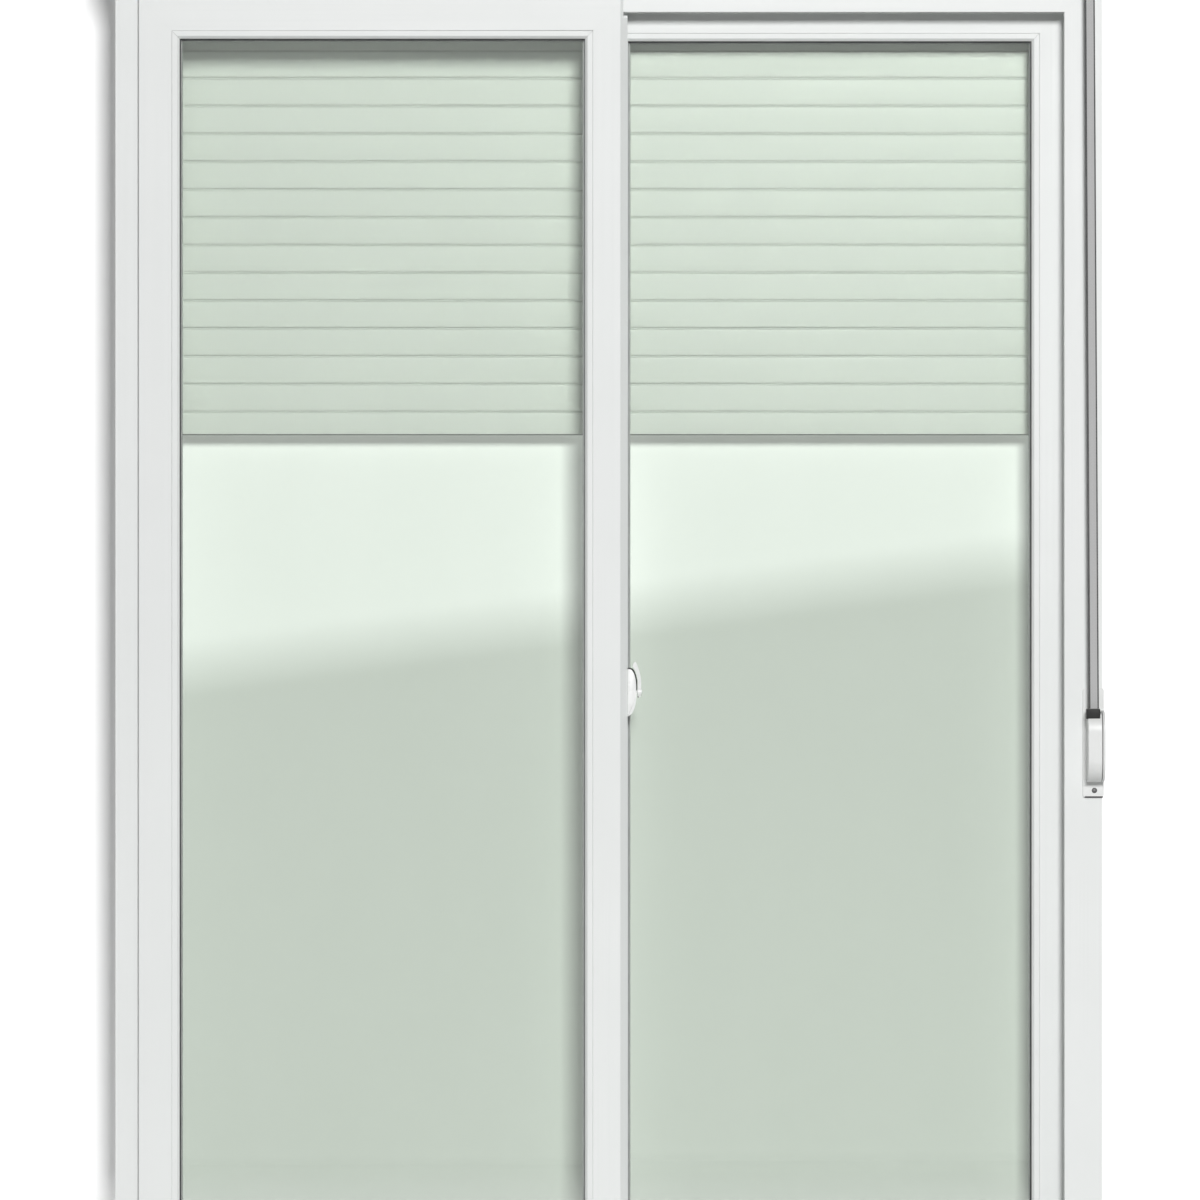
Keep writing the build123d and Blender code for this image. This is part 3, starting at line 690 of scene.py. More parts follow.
def carved(mesh, cutters):
    """A mesh with other meshes cut out of it."""
    thing = loose_object("carved", mesh)
    tools = []
    for cutter in cutters:
        tool = loose_object("cutter", cutter)
        tools.append(tool)
        cut = thing.modifiers.new("cut", "BOOLEAN")
        cut.operation = "DIFFERENCE"
        cut.solver = "EXACT"
        cut.object = tool
    result = evaluated_mesh(thing)
    for tool in tools:
        bpy.data.objects.remove(tool)
    return result


# geometry node trees


def repeat_tree(name, inputs):
    """An empty geometry tree with named inputs: the tree, its input node and its output node."""
    tree = bpy.data.node_groups.new(name, "GeometryNodeTree")
    tree.interface.new_socket("Geometry", in_out="INPUT", socket_type="NodeSocketGeometry")
    for socket, kind in inputs:
        tree.interface.new_socket(socket, in_out="INPUT", socket_type=kind)
    tree.interface.new_socket("Geometry", in_out="OUTPUT", socket_type="NodeSocketGeometry")
    return tree, tree.nodes.new("NodeGroupInput").outputs, tree.nodes.new("NodeGroupOutput")


def finish_tree(tree, instances, material, out):
    real = add(tree, "GeometryNodeRealizeInstances", {0: instances})
    painted = add(tree, "GeometryNodeSetMaterial", {"Geometry": real.outputs[0], "Material": material})
    tree.links.new(painted.outputs[0], out.inputs[0])


def on_points_tree():
    """Copies of one piece on the mesh's points, each turned to the point's own facing."""
    tree, source, out = repeat_tree(
        "repeat on points",
        [
            ("Piece", "NodeSocketObject"),
            ("Scale", "NodeSocketFloat"),
            ("Spin Seed", "NodeSocketInt"),
            ("Material", "NodeSocketMaterial"),
        ],
    )
    piece = add(tree, "GeometryNodeObjectInfo", {"Object": source["Piece"], "As Instance": True})
    facing = add(tree, "GeometryNodeInputNamedAttribute", {"Name": "facing"}, data_type="FLOAT_VECTOR")
    spin = add(
        tree,
        "FunctionNodeRandomValue",
        {"Min": (0.0, 0.0, 0.0), "Max": (0.0, 0.0, 6.283), "Seed": source["Spin Seed"]},
        data_type="FLOAT_VECTOR",
    )
    spun = add(tree, "FunctionNodeEulerToRotation", {0: spin.outputs["Value"]})
    aimed = add(tree, "FunctionNodeAlignRotationToVector", {"Vector": facing.outputs[0]}, axis="Z")
    turn = add(
        tree,
        "FunctionNodeRotateRotation",
        {"Rotation": aimed.outputs[0], "Rotate By": spun.outputs[0]},
        rotation_space="LOCAL",
    )
    copies = add(
        tree,
        "GeometryNodeInstanceOnPoints",
        {
            "Points": source["Geometry"],
            "Instance": piece.outputs["Geometry"],
            "Rotation": turn.outputs[0],
            "Scale": source["Scale"],
        },
    )
    finish_tree(tree, copies.outputs[0], source["Material"], out)
    return tree


def along_path_tree():
    """Small tapered yarns or bristles at even steps along paths, leaning a little at random."""
    tree, source, out = repeat_tree(
        "repeat along paths",
        [
            ("Spacing", "NodeSocketFloat"),
            ("Facing", "NodeSocketVector"),
            ("Length", "NodeSocketFloat"),
            ("Base Radius", "NodeSocketFloat"),
            ("Tip Radius", "NodeSocketFloat"),
            ("Stretch", "NodeSocketFloat"),
            ("Lean", "NodeSocketFloat"),
            ("Seed", "NodeSocketInt"),
            ("Material", "NodeSocketMaterial"),
        ],
    )
    paths = add(tree, "GeometryNodeMeshToCurve", {0: source["Geometry"]})
    steps = add(
        tree,
        "GeometryNodeResampleCurve",
        {"Curve": paths.outputs[0], "Length": source["Spacing"]},
        mode="LENGTH",
    )
    yarn = add(
        tree,
        "GeometryNodeMeshCone",
        {
            "Vertices": 5,
            "Side Segments": 1,
            "Radius Top": source["Tip Radius"],
            "Radius Bottom": source["Base Radius"],
            "Depth": source["Length"],
        },
    )
    lean = add(tree, "ShaderNodeCombineXYZ", {0: source["Lean"], 1: source["Lean"], 2: 0.0})
    back = scaled(tree, lean.outputs[0], (-1.0, -1.0, -1.0))
    tilt = add(
        tree,
        "FunctionNodeRandomValue",
        {"Min": back, "Max": lean.outputs[0], "Seed": source["Seed"]},
        data_type="FLOAT_VECTOR",
    )
    tilted = add(tree, "FunctionNodeEulerToRotation", {0: tilt.outputs["Value"]})
    aimed = add(tree, "FunctionNodeAlignRotationToVector", {"Vector": source["Facing"]}, axis="Z")
    tangent = add(tree, "GeometryNodeInputTangent")
    along = add(
        tree,
        "FunctionNodeAlignRotationToVector",
        {"Rotation": aimed.outputs[0], "Vector": tangent.outputs[0]},
        axis="X",
        pivot_axis="Z",
    )
    turn = add(
        tree,
        "FunctionNodeRotateRotation",
        {"Rotation": along.outputs[0], "Rotate By": tilted.outputs[0]},
        rotation_space="LOCAL",
    )
    size = add(tree, "ShaderNodeCombineXYZ", {0: source["Stretch"], 1: 1.0, 2: 1.0})
    copies = add(
        tree,
        "GeometryNodeInstanceOnPoints",
        {
            "Points": steps.outputs[0],
            "Instance": yarn.outputs["Mesh"],
            "Rotation": turn.outputs[0],
            "Scale": size.outputs[0],
        },
    )
    finish_tree(tree, copies.outputs[0], source["Material"], out)
    return tree


ON_POINTS = on_points_tree()
ALONG_PATHS = along_path_tree()


def grown(tree, mesh, values):
    """The plain mesh that a geometry tree grows from a mesh, with the tree's inputs set by name."""
    thing = loose_object("seed", mesh)
    modifier = thing.modifiers.new("grow", "NODES")
    modifier.node_group = tree
    for item in tree.interface.items_tree:
        if item.in_out == "INPUT" and item.name in values:
            modifier[item.identifier] = values[item.name]
    return evaluated_mesh(thing)


def repeated(name, part, spots, body, material, scale=1.0, seed=0):
    """One piece repeated at (place, facing) spots, each spun by the seed."""
    points = bpy.data.meshes.new(name + "_spots")
    points.from_pydata([spot for spot, _ in spots], [], [])
    facing = points.attributes.new("facing", "FLOAT_VECTOR", "POINT")
    facing.data.foreach_set("vector", [value for _, way in spots for value in way])
    pattern = loose_object(name + "_pattern", part)
    values = {"Piece": pattern, "Scale": scale, "Spin Seed": seed, "Material": material}
    mesh = grown(ON_POINTS, points, values)
    bpy.data.objects.remove(pattern)
    return new_piece(name, smooth_mesh(mesh), body, None)


def rows_of_yarn(name, paths, body, material, values):
    """Yarns or bristles along straight paths, each path a list of points."""
    points, edges = [], []
    for path in paths:
        first = len(points)
        points += path
        edges += [(first + i, first + i + 1) for i in range(len(path) - 1)]
    seed = bpy.data.meshes.new(name + "_paths")
    seed.from_pydata(points, edges, [])
    mesh = grown(ALONG_PATHS, seed, {**values, "Material": material})
    return new_piece(name, mesh, body, None)


# stage: camera, lamps, floor, backdrop


def make_camera():
    lens = bpy.data.cameras.new("camera")
    lens.sensor_width = SENSOR
    lens.lens = CAMERA_LENS
    lens.clip_end = 100
    camera = bpy.data.objects.new("camera", lens)
    camera.location = CAMERA_PLACE
    camera.rotation_euler = (math.radians(90), 0, 0)
    bpy.context.scene.collection.objects.link(camera)
    bpy.context.scene.camera = camera


def make_lamp(name, azimuth, elevation, distance, size, power):
    """A soft square lamp at an angle to the right of the room side and above the horizon."""
    lamp = bpy.data.lights.new(name, "AREA")
    lamp.shape = "SQUARE"
    lamp.size = size
    lamp.energy = power
    thing = bpy.data.objects.new(name, lamp)
    round_by, up_by = math.radians(azimuth), math.radians(elevation)
    level = math.cos(up_by)
    away = Vector((math.sin(round_by) * level, -math.cos(round_by) * level, math.sin(up_by)))
    thing.location = Vector(LAMP_AIM) + away * distance
    thing.rotation_euler = away.to_track_quat("Z", "Y").to_euler()
    thing.visible_camera = False
    bpy.context.scene.collection.objects.link(thing)


def make_world():
    """A white surround for the eye, for glass and for gloss. What lights the object is dimmer, and dimmest
    from straight in front, so that recesses stay dark."""
    world = bpy.data.worlds.new("surround")
    world.use_nodes = True
    tree = world.node_tree
    path = add(tree, "ShaderNodeLightPath").outputs
    mirrored = maths(tree, "MAXIMUM", path["Is Glossy Ray"], path["Is Transmission Ray"])
    seen = maths(tree, "MAXIMUM", path["Is Camera Ray"], mirrored)
    towards = add(tree, "ShaderNodeTexCoord").outputs["Generated"]
    forward = axes_of(tree, towards)["Y"]
    ambient = in_range(tree, forward, -0.95, -0.15, AMBIENT_AHEAD, AMBIENT_AROUND)
    strength = maths(tree, "MAXIMUM", seen, ambient)
    ground = tree.nodes["Background"]
    ground.inputs["Color"].default_value = (1, 1, 1, 1)
    tree.links.new(strength, ground.inputs["Strength"])
    bpy.context.scene.world = world


def fading(tree, axis, half, fade, centre=0.0):
    """1 near the middle of one axis and 0 at its ends."""
    axes = axes_of(tree, place(tree))
    apart = maths(tree, "ABSOLUTE", maths(tree, "SUBTRACT", axes[axis], centre))
    return in_range(tree, apart, half - fade, half, 1.0, 0.0)


def matt_panel(name, corners):
    """A flat panel of the stage with an empty finish of its own: the panel, and the finish's node tree."""
    mesh = bpy.data.meshes.new(name)
    mesh.from_pydata(corners, [], [(0, 1, 2, 3)])
    material, tree, surface = new_finish(name)
    tree.nodes.remove(surface)
    mesh.materials.append(material)
    panel = loose_object(name, mesh)
    return panel, tree


def matt_where_shown(tree, colour, shown):
    """A matt colour where shown is 1, and nothing where it is 0."""
    matt = add(tree, "ShaderNodeBsdfDiffuse", {"Color": colour})
    clear = add(tree, "ShaderNodeBsdfTransparent")
    mixed = add(tree, "ShaderNodeMixShader", {0: shown, 1: clear.outputs[0], 2: matt.outputs[0]})
    tree.links.new(mixed.outputs[0], tree.nodes["Material Output"].inputs["Surface"])


def make_floor():
    """A pale floor that keeps the object's shadow and fades out at its rim."""
    half_x, near, far = 2.6, -3.2, 1.85
    fade_x, fade_y = 1.1, 1.0
    corners = [(-half_x, near, 0), (half_x, near, 0), (half_x, far, 0), (-half_x, far, 0)]
    floor, tree = matt_panel("floor", corners)
    floor.location.z = -0.5 * MM
    mottle = noise(tree, place(tree), 3.0, 4.0)
    seen = add(tree, "ShaderNodeLightPath").outputs["Is Camera Ray"]
    colour = blend_colour(
        tree, seen, blend_colour(tree, mottle, *FLOOR_LIT), blend_colour(tree, mottle, *FLOOR_SEEN)
    )
    across = fading(tree, "X", half_x, fade_x)
    deep = fading(tree, "Y", (far - near) / 2, fade_y, (near + far) / 2)
    matt_where_shown(tree, colour, maths(tree, "MULTIPLY", across, deep))


def make_backdrop():
    """A white wall close behind, seen only from the room side. Through the glass its lower part carries a
    painted shade, softly darker up to a line that climbs to the right."""
    half_x, bottom, top, back = 1.35, 0.0, 2.75, 0.105
    line_slope, line_height = 0.132, 1.112
    below_line, above_line = -0.045, 0.05
    fade_x, fade_z = 0.25, 0.2
    corners = [(-half_x, back, bottom), (half_x, back, bottom), (half_x, back, top), (-half_x, back, top)]
    wall, tree = matt_panel("backdrop", corners)
    wall.visible_shadow = False
    wall.visible_diffuse = False
    path = add(tree, "ShaderNodeLightPath").outputs
    axes = axes_of(tree, place(tree))
    # Painted shade: through the glass the wall turns darker below a line that climbs to the right
    line = maths(tree, "ADD", maths(tree, "MULTIPLY", axes["X"], line_slope), line_height)
    above = maths(tree, "SUBTRACT", axes["Z"], line)
    lower = in_range(tree, above, below_line, above_line, 1.0, 0.0)
    painted_shade_through_glass = maths(tree, "MULTIPLY", lower, path["Is Transmission Ray"])
    colour = blend_colour(tree, painted_shade_through_glass, WALL_WHITE, WALL_PAINTED_SHADE_THROUGH_GLASS)
    across = fading(tree, "X", half_x, fade_x)
    upright = fading(tree, "Z", (top - bottom) / 2, fade_z, (top + bottom) / 2)
    rim = maths(tree, "MULTIPLY", across, upright)
    behind = add(tree, "ShaderNodeNewGeometry").outputs["Backfacing"]
    shown = maths(tree, "MULTIPLY", rim, maths(tree, "SUBTRACT", 1.0, behind))
    matt_where_shown(tree, colour, shown)


def make_stage():
    make_camera()
    make_world()
    make_lamp("key lamp", **KEY_LAMP)
    make_lamp("back lamp", **BACK_LAMP)
    make_floor()
    make_backdrop()
    bpy.context.scene.view_settings.view_transform = "Standard"


# the object's finishes


def dress_profiles():
    """PVC members of the frame, the leaves, the box and the guides."""
    outer = frame_outline()
    head_pvc = pvc_finish("frame rail pvc", ALONG_X, outer)
    jamb_pvc = pvc_finish("frame jamb pvc", ALONG_Z, outer)
    ease_nodes(("frame_head", "frame_sill"), 0.6 * MM, head_pvc, (0,))
    ease_nodes(("frame_left_jamb", "frame_right_jamb"), 0.6 * MM, jamb_pvc, (2,))
    for prefix, side in MEETING_SIDES:
        outline = leaf_outline(prefix, side)
        words = prefix.replace("_", " ")
        rail = pvc_finish(words + " rail pvc", ALONG_X, outline)
        stile = pvc_finish(words + " stile pvc", ALONG_Z, outline)
        bead = pvc_finish(words + " bead pvc", ALONG_BOTH, outline)
        ease_nodes((prefix + "_top_rail", prefix + "_bottom_rail"), 0.5 * MM, rail, (0,))
        ease_nodes((prefix + "_left_stile", prefix + "_right_stile"), 0.5 * MM, stile, (2,))
        ease_nodes((prefix + "_beads",), 0.4 * MM, bead, (0, 2))
    box_pvc = pvc_finish("box panel pvc", ALONG_X, dust=0.3)
    ease_nodes(
        ("shutter_box_front", "shutter_box_back", "shutter_box_top", "shutter_box_floor"), 0.6 * MM, box_pvc
    )
    cap_pvc = moulded_finish("box cap plastic", PVC_WHITE, PVC_SHADE, 900.0)
    ease_nodes(("shutter_box_left_cap", "shutter_box_right_cap"), 0.8 * MM, cap_pvc)
    guide_pvc = pvc_finish("guide pvc", ALONG_Z, gloss=0.34)
    ease_nodes(("left_shutter_guide", "right_shutter_guide"), 0.6 * MM, guide_pvc)


def ring_mesh(outline, section, meeting_side=None, meeting_reach=None):
    """A closed ring round an outline. The section is (inset, Y) points, held back on the meeting side."""
    left, right, bottom, top = outline

    def build(work):
        rings = []
        for inset, y in section:
            sides = {"left": inset, "right": inset}
            if meeting_side:
                sides[meeting_side] = min(inset, meeting_reach)
            x0, x1 = left + sides["left"], right - sides["right"]
            z0, z1 = bottom + inset, top - inset
            rings.append([work.verts.new((x, y, z)) for x, z in ((x0, z0), (x1, z0), (x1, z1), (x0, z1))])
        for first, second in zip(rings, rings[1:] + rings[:1]):
            for i in range(4):
                j = (i + 1) % 4
                work.faces.new((first[i], first[j], second[j], second[i]))

    return mesh_of(build, "ring")


def make_glazing_seals(prefix, meeting_side, rubber):
    """Seals with a soft lip on both faces of the double glazing."""
    outline = leaf_outline(prefix, meeting_side)
    panes_low, panes_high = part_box(prefix + "_glass")
    leaf_low, leaf_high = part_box(prefix + "_gaskets")
    back, lip, tuck = 56 * MM, 68.7 * MM, 66.7 * MM
    curl, tip, ease = 0.9 * MM, 0.2 * MM, 0.3 * MM
    rings = []
    for start, end in ((leaf_low.y, panes_low.y), (panes_high.y, leaf_high.y)):
        section = [
            (back, start), (back, end), (lip - curl, end), (lip - tip, end - ease),
            (lip, (start + end) / 2), (lip - tip, start + ease), (lip - curl, start),
        ]
        rings.append(ring_mesh(outline, section, meeting_side, tuck))
    mesh = joined_mesh("seals", rings)
    seal = new_piece(prefix + "_glazing_seals", mesh, prefix, rubber)
    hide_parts(prefix + "_gaskets")


def make_spacer_bar(prefix, meeting_side, rubber, bar):
    """The bar between the panes, with chamfered edges and two rows of small holes on its inner faces."""
    outline = leaf_outline(prefix, meeting_side)
    low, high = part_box(prefix + "_spacer")
    outer, inner, step = 61 * MM, 70.3 * MM, 0.8 * MM
    section = [
        (outer + step, low.y), (outer, low.y + step), (outer, high.y - step), (outer + step, high.y),
        (inner - step, high.y), (inner, high.y - step), (inner, low.y + step), (inner - step, low.y),
    ]
    spacer = new_piece(prefix + "_spacer_bar", ring_mesh(outline, section), prefix, bar)
    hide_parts(prefix + "_spacer")

    left, right, bottom, top = outline
    rim, floor, sunk = 0.55 * MM, 0.45 * MM, 0.05 * MM
    hole = turned([(0, 0), (rim, 0), (floor, sunk), (0, sunk)], 6)
    hole_pitch, hole_inset = 7 * MM, 4.5 * MM
    spots = []
    for y in (low.y + hole_inset, high.y - hole_inset):
        for x, z, way, run in (
            (left + inner, bottom + inner, (1, 0, 0), (0, 0, 1)),
            (right - inner, bottom + inner, (-1, 0, 0), (0, 0, 1)),
            (left + inner, bottom + inner, (0, 0, 1), (1, 0, 0)),
            (left + inner, top - inner, (0, 0, -1), (1, 0, 0)),
        ):
            length = (top - bottom if run[2] else right - left) - 2 * inner
            count = int(length / hole_pitch)
            for i in range(1, count):
                along = length * i / count
                spots.append(((x + run[0] * along, y, z + run[2] * along), way))
    repeated(prefix + "_spacer_holes", hole, spots, prefix, rubber)


def extruded_y(points, front, back, edge):
    """A plate with an outline of (X, Z) points between two depths, round at its rims where edge isn't 0."""

    def build(work):
        front_ring = [work.verts.new((x, front, z)) for x, z in points]
        back_ring = [work.verts.new((x, back, z)) for x, z in points]
        faces = [work.faces.new(front_ring), work.faces.new(list(reversed(back_ring)))]
        for i in range(len(points)):
            j = (i + 1) % len(points)
            work.faces.new((front_ring[i], back_ring[i], back_ring[j], front_ring[j]))
        if edge:
            rims = [rim for face in faces for rim in face.edges]
            bmesh.ops.bevel(work, geom=rims, offset=edge, segments=4, profile=0.5, affect="EDGES")

    return mesh_of(build, "plate")


def arc_points(centre, radii, start, end, count):
    """Points on an ellipse in X and Z, from one angle in degrees to another."""
    points = []
    for i in range(count + 1):
        angle = math.radians(start + (end - start) * i / count)
        points.append((centre[0] + radii[0] * math.cos(angle), centre[1] + radii[1] * math.sin(angle)))
    return points


def make_lock_base(enamel, black):
    """The lock's boss with its pin, full at its top under the lever's curl, and a dark liner between them
    that is painted shade for the gap.
    """
    low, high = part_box("lock_base")
    lever_low, lever_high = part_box("lock_lever")
    side = low.x
    middle = (low.z + high.z) / 2
    half = (high.z - low.z) / 2
    reach = 15 * MM
    lower = arc_points((side, middle), (reach, half), -90, 0, 14)
    brow = ((15, 10), (14.6, 17), (13.6, 23.5), (11.9, 29.5), (9.6, 34.5), (7.6, 37), (5.2, 38.2), (0, 38.8))
    upper = [(side + x * MM, middle + z * MM) for x, z in brow]
    boss = extruded_y(lower + upper, low.y, high.y, 1.6 * MM)

    pin_length, shank, head = 9.9 * MM, 2.5 * MM, 4 * MM
    under_head, over_head = 8.5 * MM, 9.5 * MM
    pin = turned(
        [(0, 0), (shank, 0), (shank, under_head), (head, under_head), (head, over_head),
         (head - 0.8 * MM, pin_length), (0, pin_length)],
        24,
    )
    foot = (high.x - pin_length, (lever_low.y + lever_high.y) / 2, middle)
    pin.transform(Matrix.Translation(foot) @ Matrix.Rotation(math.radians(90), 4, "Y"))
    mesh = smooth_mesh(joined_mesh("lock_base_boss", [boss, pin]), 40)
    base = new_piece("lock_base_boss", mesh, "inner_leaf", enamel)
    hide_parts("lock_base")

    # painted shade: a dark strip put in the gap between the boss and the lever's curl, where there is only
    # shade
    lined = [(side + reach, middle + 3 * MM), *upper]
    buried, thin, thick, rise = 0.6 * MM, 0.7 * MM, 1.05 * MM, 0.6 * MM
    inside = [(x - buried, z - 0.4 * MM) for x, z in lined]
    outside = [(x + (thick if i > 1 else thin), z + rise) for i, (x, z) in enumerate(lined)]
    front, back = lever_low.y - 6.4 * MM, lever_low.y + 1.5 * MM
    liner = extruded_y(inside + list(reversed(outside)), front, back, 0)
    new_piece("lock_liner", liner, "inner_leaf", black)


def make_winder_mouth(black, rubber):
    """The black mouth that wraps the case's brow, with its slot, and a dark strip under the plate as its
    painted shadow.
    """
    low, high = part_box("winder_mouth")
    case_low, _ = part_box("winder_case")
    front = case_low.y + 7 * MM
    drop, shift, slot_rise = 1.4 * MM, 1.6 * MM, 8 * MM
    middle_x, middle_y, middle_z = [(a + b) / 2 for a, b in zip(low, high)]
    size = (high.x - low.x, high.y - front, high.z - low.z + drop)
    centre = Vector((middle_x - shift, (high.y + front) / 2, middle_z - drop / 2))
    slot = block_mesh((19.2 * MM, 2.6 * MM, 30 * MM), 0.8 * MM, 2)
    slot_place = (shift, middle_y - centre.y, slot_rise)
    slot.transform(Matrix.Translation(slot_place) @ Matrix.Rotation(STRAP_TURN, 4, "Z"))
    block = carved(block_mesh(size, 1.6 * MM, 4), [slot])
    block.transform(Matrix.Translation(centre))
    mouth = new_piece("winder_mouth_block", smooth_mesh(block, 40), "frame", black)
    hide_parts("winder_mouth")

    plate_low, plate_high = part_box("winder_plate")
    # painted shadow: a dark rubber strip along the plate's bottom edge stands in for the shadow under it
    foot = block_mesh((30 * MM, 3.2 * MM, 2.6 * MM), 0.6 * MM, 2)
    shadow_strip_x = (plate_low.x + plate_high.x) / 2 + 1 * MM
    foot.transform(Matrix.Translation((shadow_strip_x, plate_low.y + 1.5 * MM, plate_low.z + 0.9 * MM)))
    new_piece("winder_plate_foot", foot, "frame", rubber)


def dress_nodes():
    """Finishes of the CAD nodes that keep their shape, and the pieces that stand for small ones. Returns the
    rubber and the black plastic, which other pieces share."""
    # painted shade: the interlock cover's PVC is a little darker than the other white PVC, for its slanted
    # face
    cover = pvc_finish("interlock cover shaded pvc", ALONG_Z, colour=(0.80, 0.82, 0.81, 1), gloss=0.42)
    ease_nodes(("inner_leaf_interlock", "outer_leaf_interlock"), 0.4 * MM, cover)
    slats_low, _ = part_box("shutter_slats")
    slats = slat_finish("slat pvc", slats_low.z)
    set_finish(slats, "shutter_slats", "wound_curtain")
    end_low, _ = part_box("shutter_end_slat")
    set_finish(slat_finish("end slat pvc", end_low.z), "shutter_end_slat")
    set_finish(glass_finish(), "inner_leaf_glass", "outer_leaf_glass")
    rubber = moulded_finish("gasket rubber", (0.018, 0.018, 0.019, 1), (0.035, 0.035, 0.036, 1), 700.0)
    bar = moulded_finish("spacer bar grey", (0.36, 0.37, 0.37, 1), (0.44, 0.45, 0.45, 1), 800.0)
    for prefix, side in MEETING_SIDES:
        make_glazing_seals(prefix, side, rubber)
        make_spacer_bar(prefix, side, rubber, bar)
    rail = metal_finish("mill aluminium", (0.80, 0.80, 0.79, 1), (0.56, 0.56, 0.55, 1), (2.0, 900.0, 900.0))
    set_finish(rail, "track_rails")
    turned_grain = (40.0, 40.0, 40.0)
    steel = metal_finish("roller steel", (0.58, 0.57, 0.55, 1), (0.36, 0.35, 0.33, 1), turned_grain, 90.0)
    set_finish(steel, "inner_leaf_rollers", "outer_leaf_rollers")
    tube_grain = (6.0, 30.0, 30.0)
    zinc = metal_finish("galvanised steel", (0.62, 0.64, 0.66, 1), (0.42, 0.44, 0.46, 1), tube_grain, 45.0)
    set_finish(zinc, "roller_tube")
    black = moulded_finish("black plastic", (0.02, 0.02, 0.021, 1), (0.045, 0.045, 0.046, 1), 600.0)
    set_finish(black, "strap_pulley")
    winder = moulded_finish("winder plastic", (0.80, 0.81, 0.80, 1), (0.77, 0.78, 0.77, 1), 1000.0, 0.03 * MM)
    set_finish(winder, "winder_case", "strap_guide")
    ease_nodes(("winder_plate",), 0.4 * MM, winder)
    enamel = painted_metal_finish("white lock enamel", (0.90, 0.91, 0.90, 1), (0.86, 0.87, 0.86, 1))
    set_finish(enamel, "lock_lever")
    soot, ash = (0.010, 0.010, 0.011, 1), (0.016, 0.016, 0.017, 1)
    matte = moulded_finish("matte black", soot, ash, 600.0, specular=0.12)
    make_lock_base(enamel, matte)
    make_winder_mouth(matte, rubber)
    return rubber, black


# pull strap


def strap_route():
    """Centre of the strap from the winder to the pulley and round it: place, across and face directions."""
    low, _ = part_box("pull_strap")
    guide_low, guide_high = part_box("strap_guide")
    wheel_low, wheel_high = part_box("strap_pulley")
    mouth_low, mouth_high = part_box("winder_mouth")
    axis_y = (wheel_low.y + wheel_high.y) / 2
    axis_z = (wheel_low.z + wheel_high.z) / 2
    wheel_x = (wheel_low.x + wheel_high.x) / 2
    radius = axis_y - (guide_low.y + guide_high.y) / 2
    stops = [
        (Vector(((mouth_low.x + mouth_high.x) / 2, axis_y - radius, low.z)), STRAP_TURN),
        (Vector(((guide_low.x + guide_high.x) / 2, axis_y - radius, guide_low.z)), STRAP_TURN),
        (Vector((wheel_x, axis_y - radius, axis_z)), 0.0),
    ]
    step = 1.2 * MM
    route = []
    for (start, turn), (end, next_turn) in zip(stops, stops[1:]):
        count = max(2, round((end - start).length / step))
        for i in range(count):
            share = i / count
            angle = turn + (next_turn - turn) * share
            across = Vector((math.cos(angle), math.sin(angle), 0))
            face = Vector((math.sin(angle), -math.cos(angle), 0))
            route.append((start.lerp(end, share), across, face))
    turns, packing = 2, 0.98
    sweep = 2 * math.pi * turns
    count = round(sweep * radius / step)
    for i in range(count + 1):
        angle = sweep * i / count
        reach = radius - turns * STRAP_THICKNESS * packing * i / count
        face = Vector((0, -math.cos(angle), math.sin(angle)))
        route.append((Vector((wheel_x, axis_y, axis_z)) + face * reach, Vector((1, 0, 0)), face))
    return route, stops


def make_strap():
    """The woven ribbon, with raised picks in a plain weave, and the pale stitches in its dark edges."""
    route, stops = strap_route()
    columns = STRAP_YARNS
    half = STRAP_WIDTH / 2
    thick = STRAP_THICKNESS / 2
    raise_by = 0.09 * MM
    thin_from, thinned = 0.86, 0.55
    verts, uvs = [], []
    travelled = 0.0
    for row, (centre, across, face) in enumerate(route):
        if row:
            travelled += (centre - route[row - 1][0]).length
        ring = []
        for side in (1, -1):
            order = range(columns + 1) if side == 1 else range(columns, -1, -1)
            for column in order:
                share = column / columns
                rim = 1 - thinned * max(0.0, abs(2 * share - 1) - thin_from) / (1 - thin_from)
                pick = raise_by if (row // 2 + column) % 2 else -raise_by
                away = side * (thick * rim - raise_by + pick * (0.5 if rim < 1 else 1.0))
                ring.append((centre + across * (2 * share - 1) * half + face * away, share))
        verts += [spot for spot, _ in ring]
        uvs += [(share, travelled) for _, share in ring]
    size = 2 * (columns + 1)
    faces = []
    for row in range(len(route) - 1):
        for i in range(size):
            j = (i + 1) % size
            faces.append((row * size + i, row * size + j, (row + 1) * size + j, (row + 1) * size + i))
    faces.append(tuple(range(size - 1, -1, -1)))
    last = (len(route) - 1) * size
    faces.append(tuple(last + i for i in range(size)))
    mesh = bpy.data.meshes.new("strap")
    mesh.from_pydata([tuple(v) for v in verts], [], faces)
    layer = mesh.uv_layers.new(name="UVMap")
    for loop in mesh.loops:
        layer.data[loop.index].uv = uvs[loop.vertex_index]
    mesh.update()
    strap = new_piece("pull_strap_woven", smooth_mesh(mesh, 50), "frame", strap_finish())
    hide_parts("pull_strap")

    stitch = moulded_finish("pale stitch yarn", (0.55, 0.55, 0.54, 1), (0.46, 0.46, 0.45, 1), 2500.0)
    across = Vector((math.cos(STRAP_TURN), math.sin(STRAP_TURN), 0))
    face = Vector((math.sin(STRAP_TURN), -math.cos(STRAP_TURN), 0))
    bottom, top = stops[0][0] + Vector((0, 0, 2 * MM)), stops[1][0]
    paths = []
    for side in (-1, 1):
        for way in (-1, 1):
            shift = across * side * (half - 1.15 * MM) + face * way * (thick - 0.1 * MM)
            paths.append([tuple(bottom + shift), tuple(top + shift)])
    rows_of_yarn(
        "pull_strap_stitches",
        paths,
        "frame",
        stitch,
        {
            "Spacing": 2.4 * MM,
            "Facing": tuple(face),
            "Length": 0.35 * MM,
            "Base Radius": 0.45 * MM,
            "Tip Radius": 0.25 * MM,
            "Stretch": 1.5,
            "Lean": 0.0,
            "Seed": 4,
        },
    )


# small parts


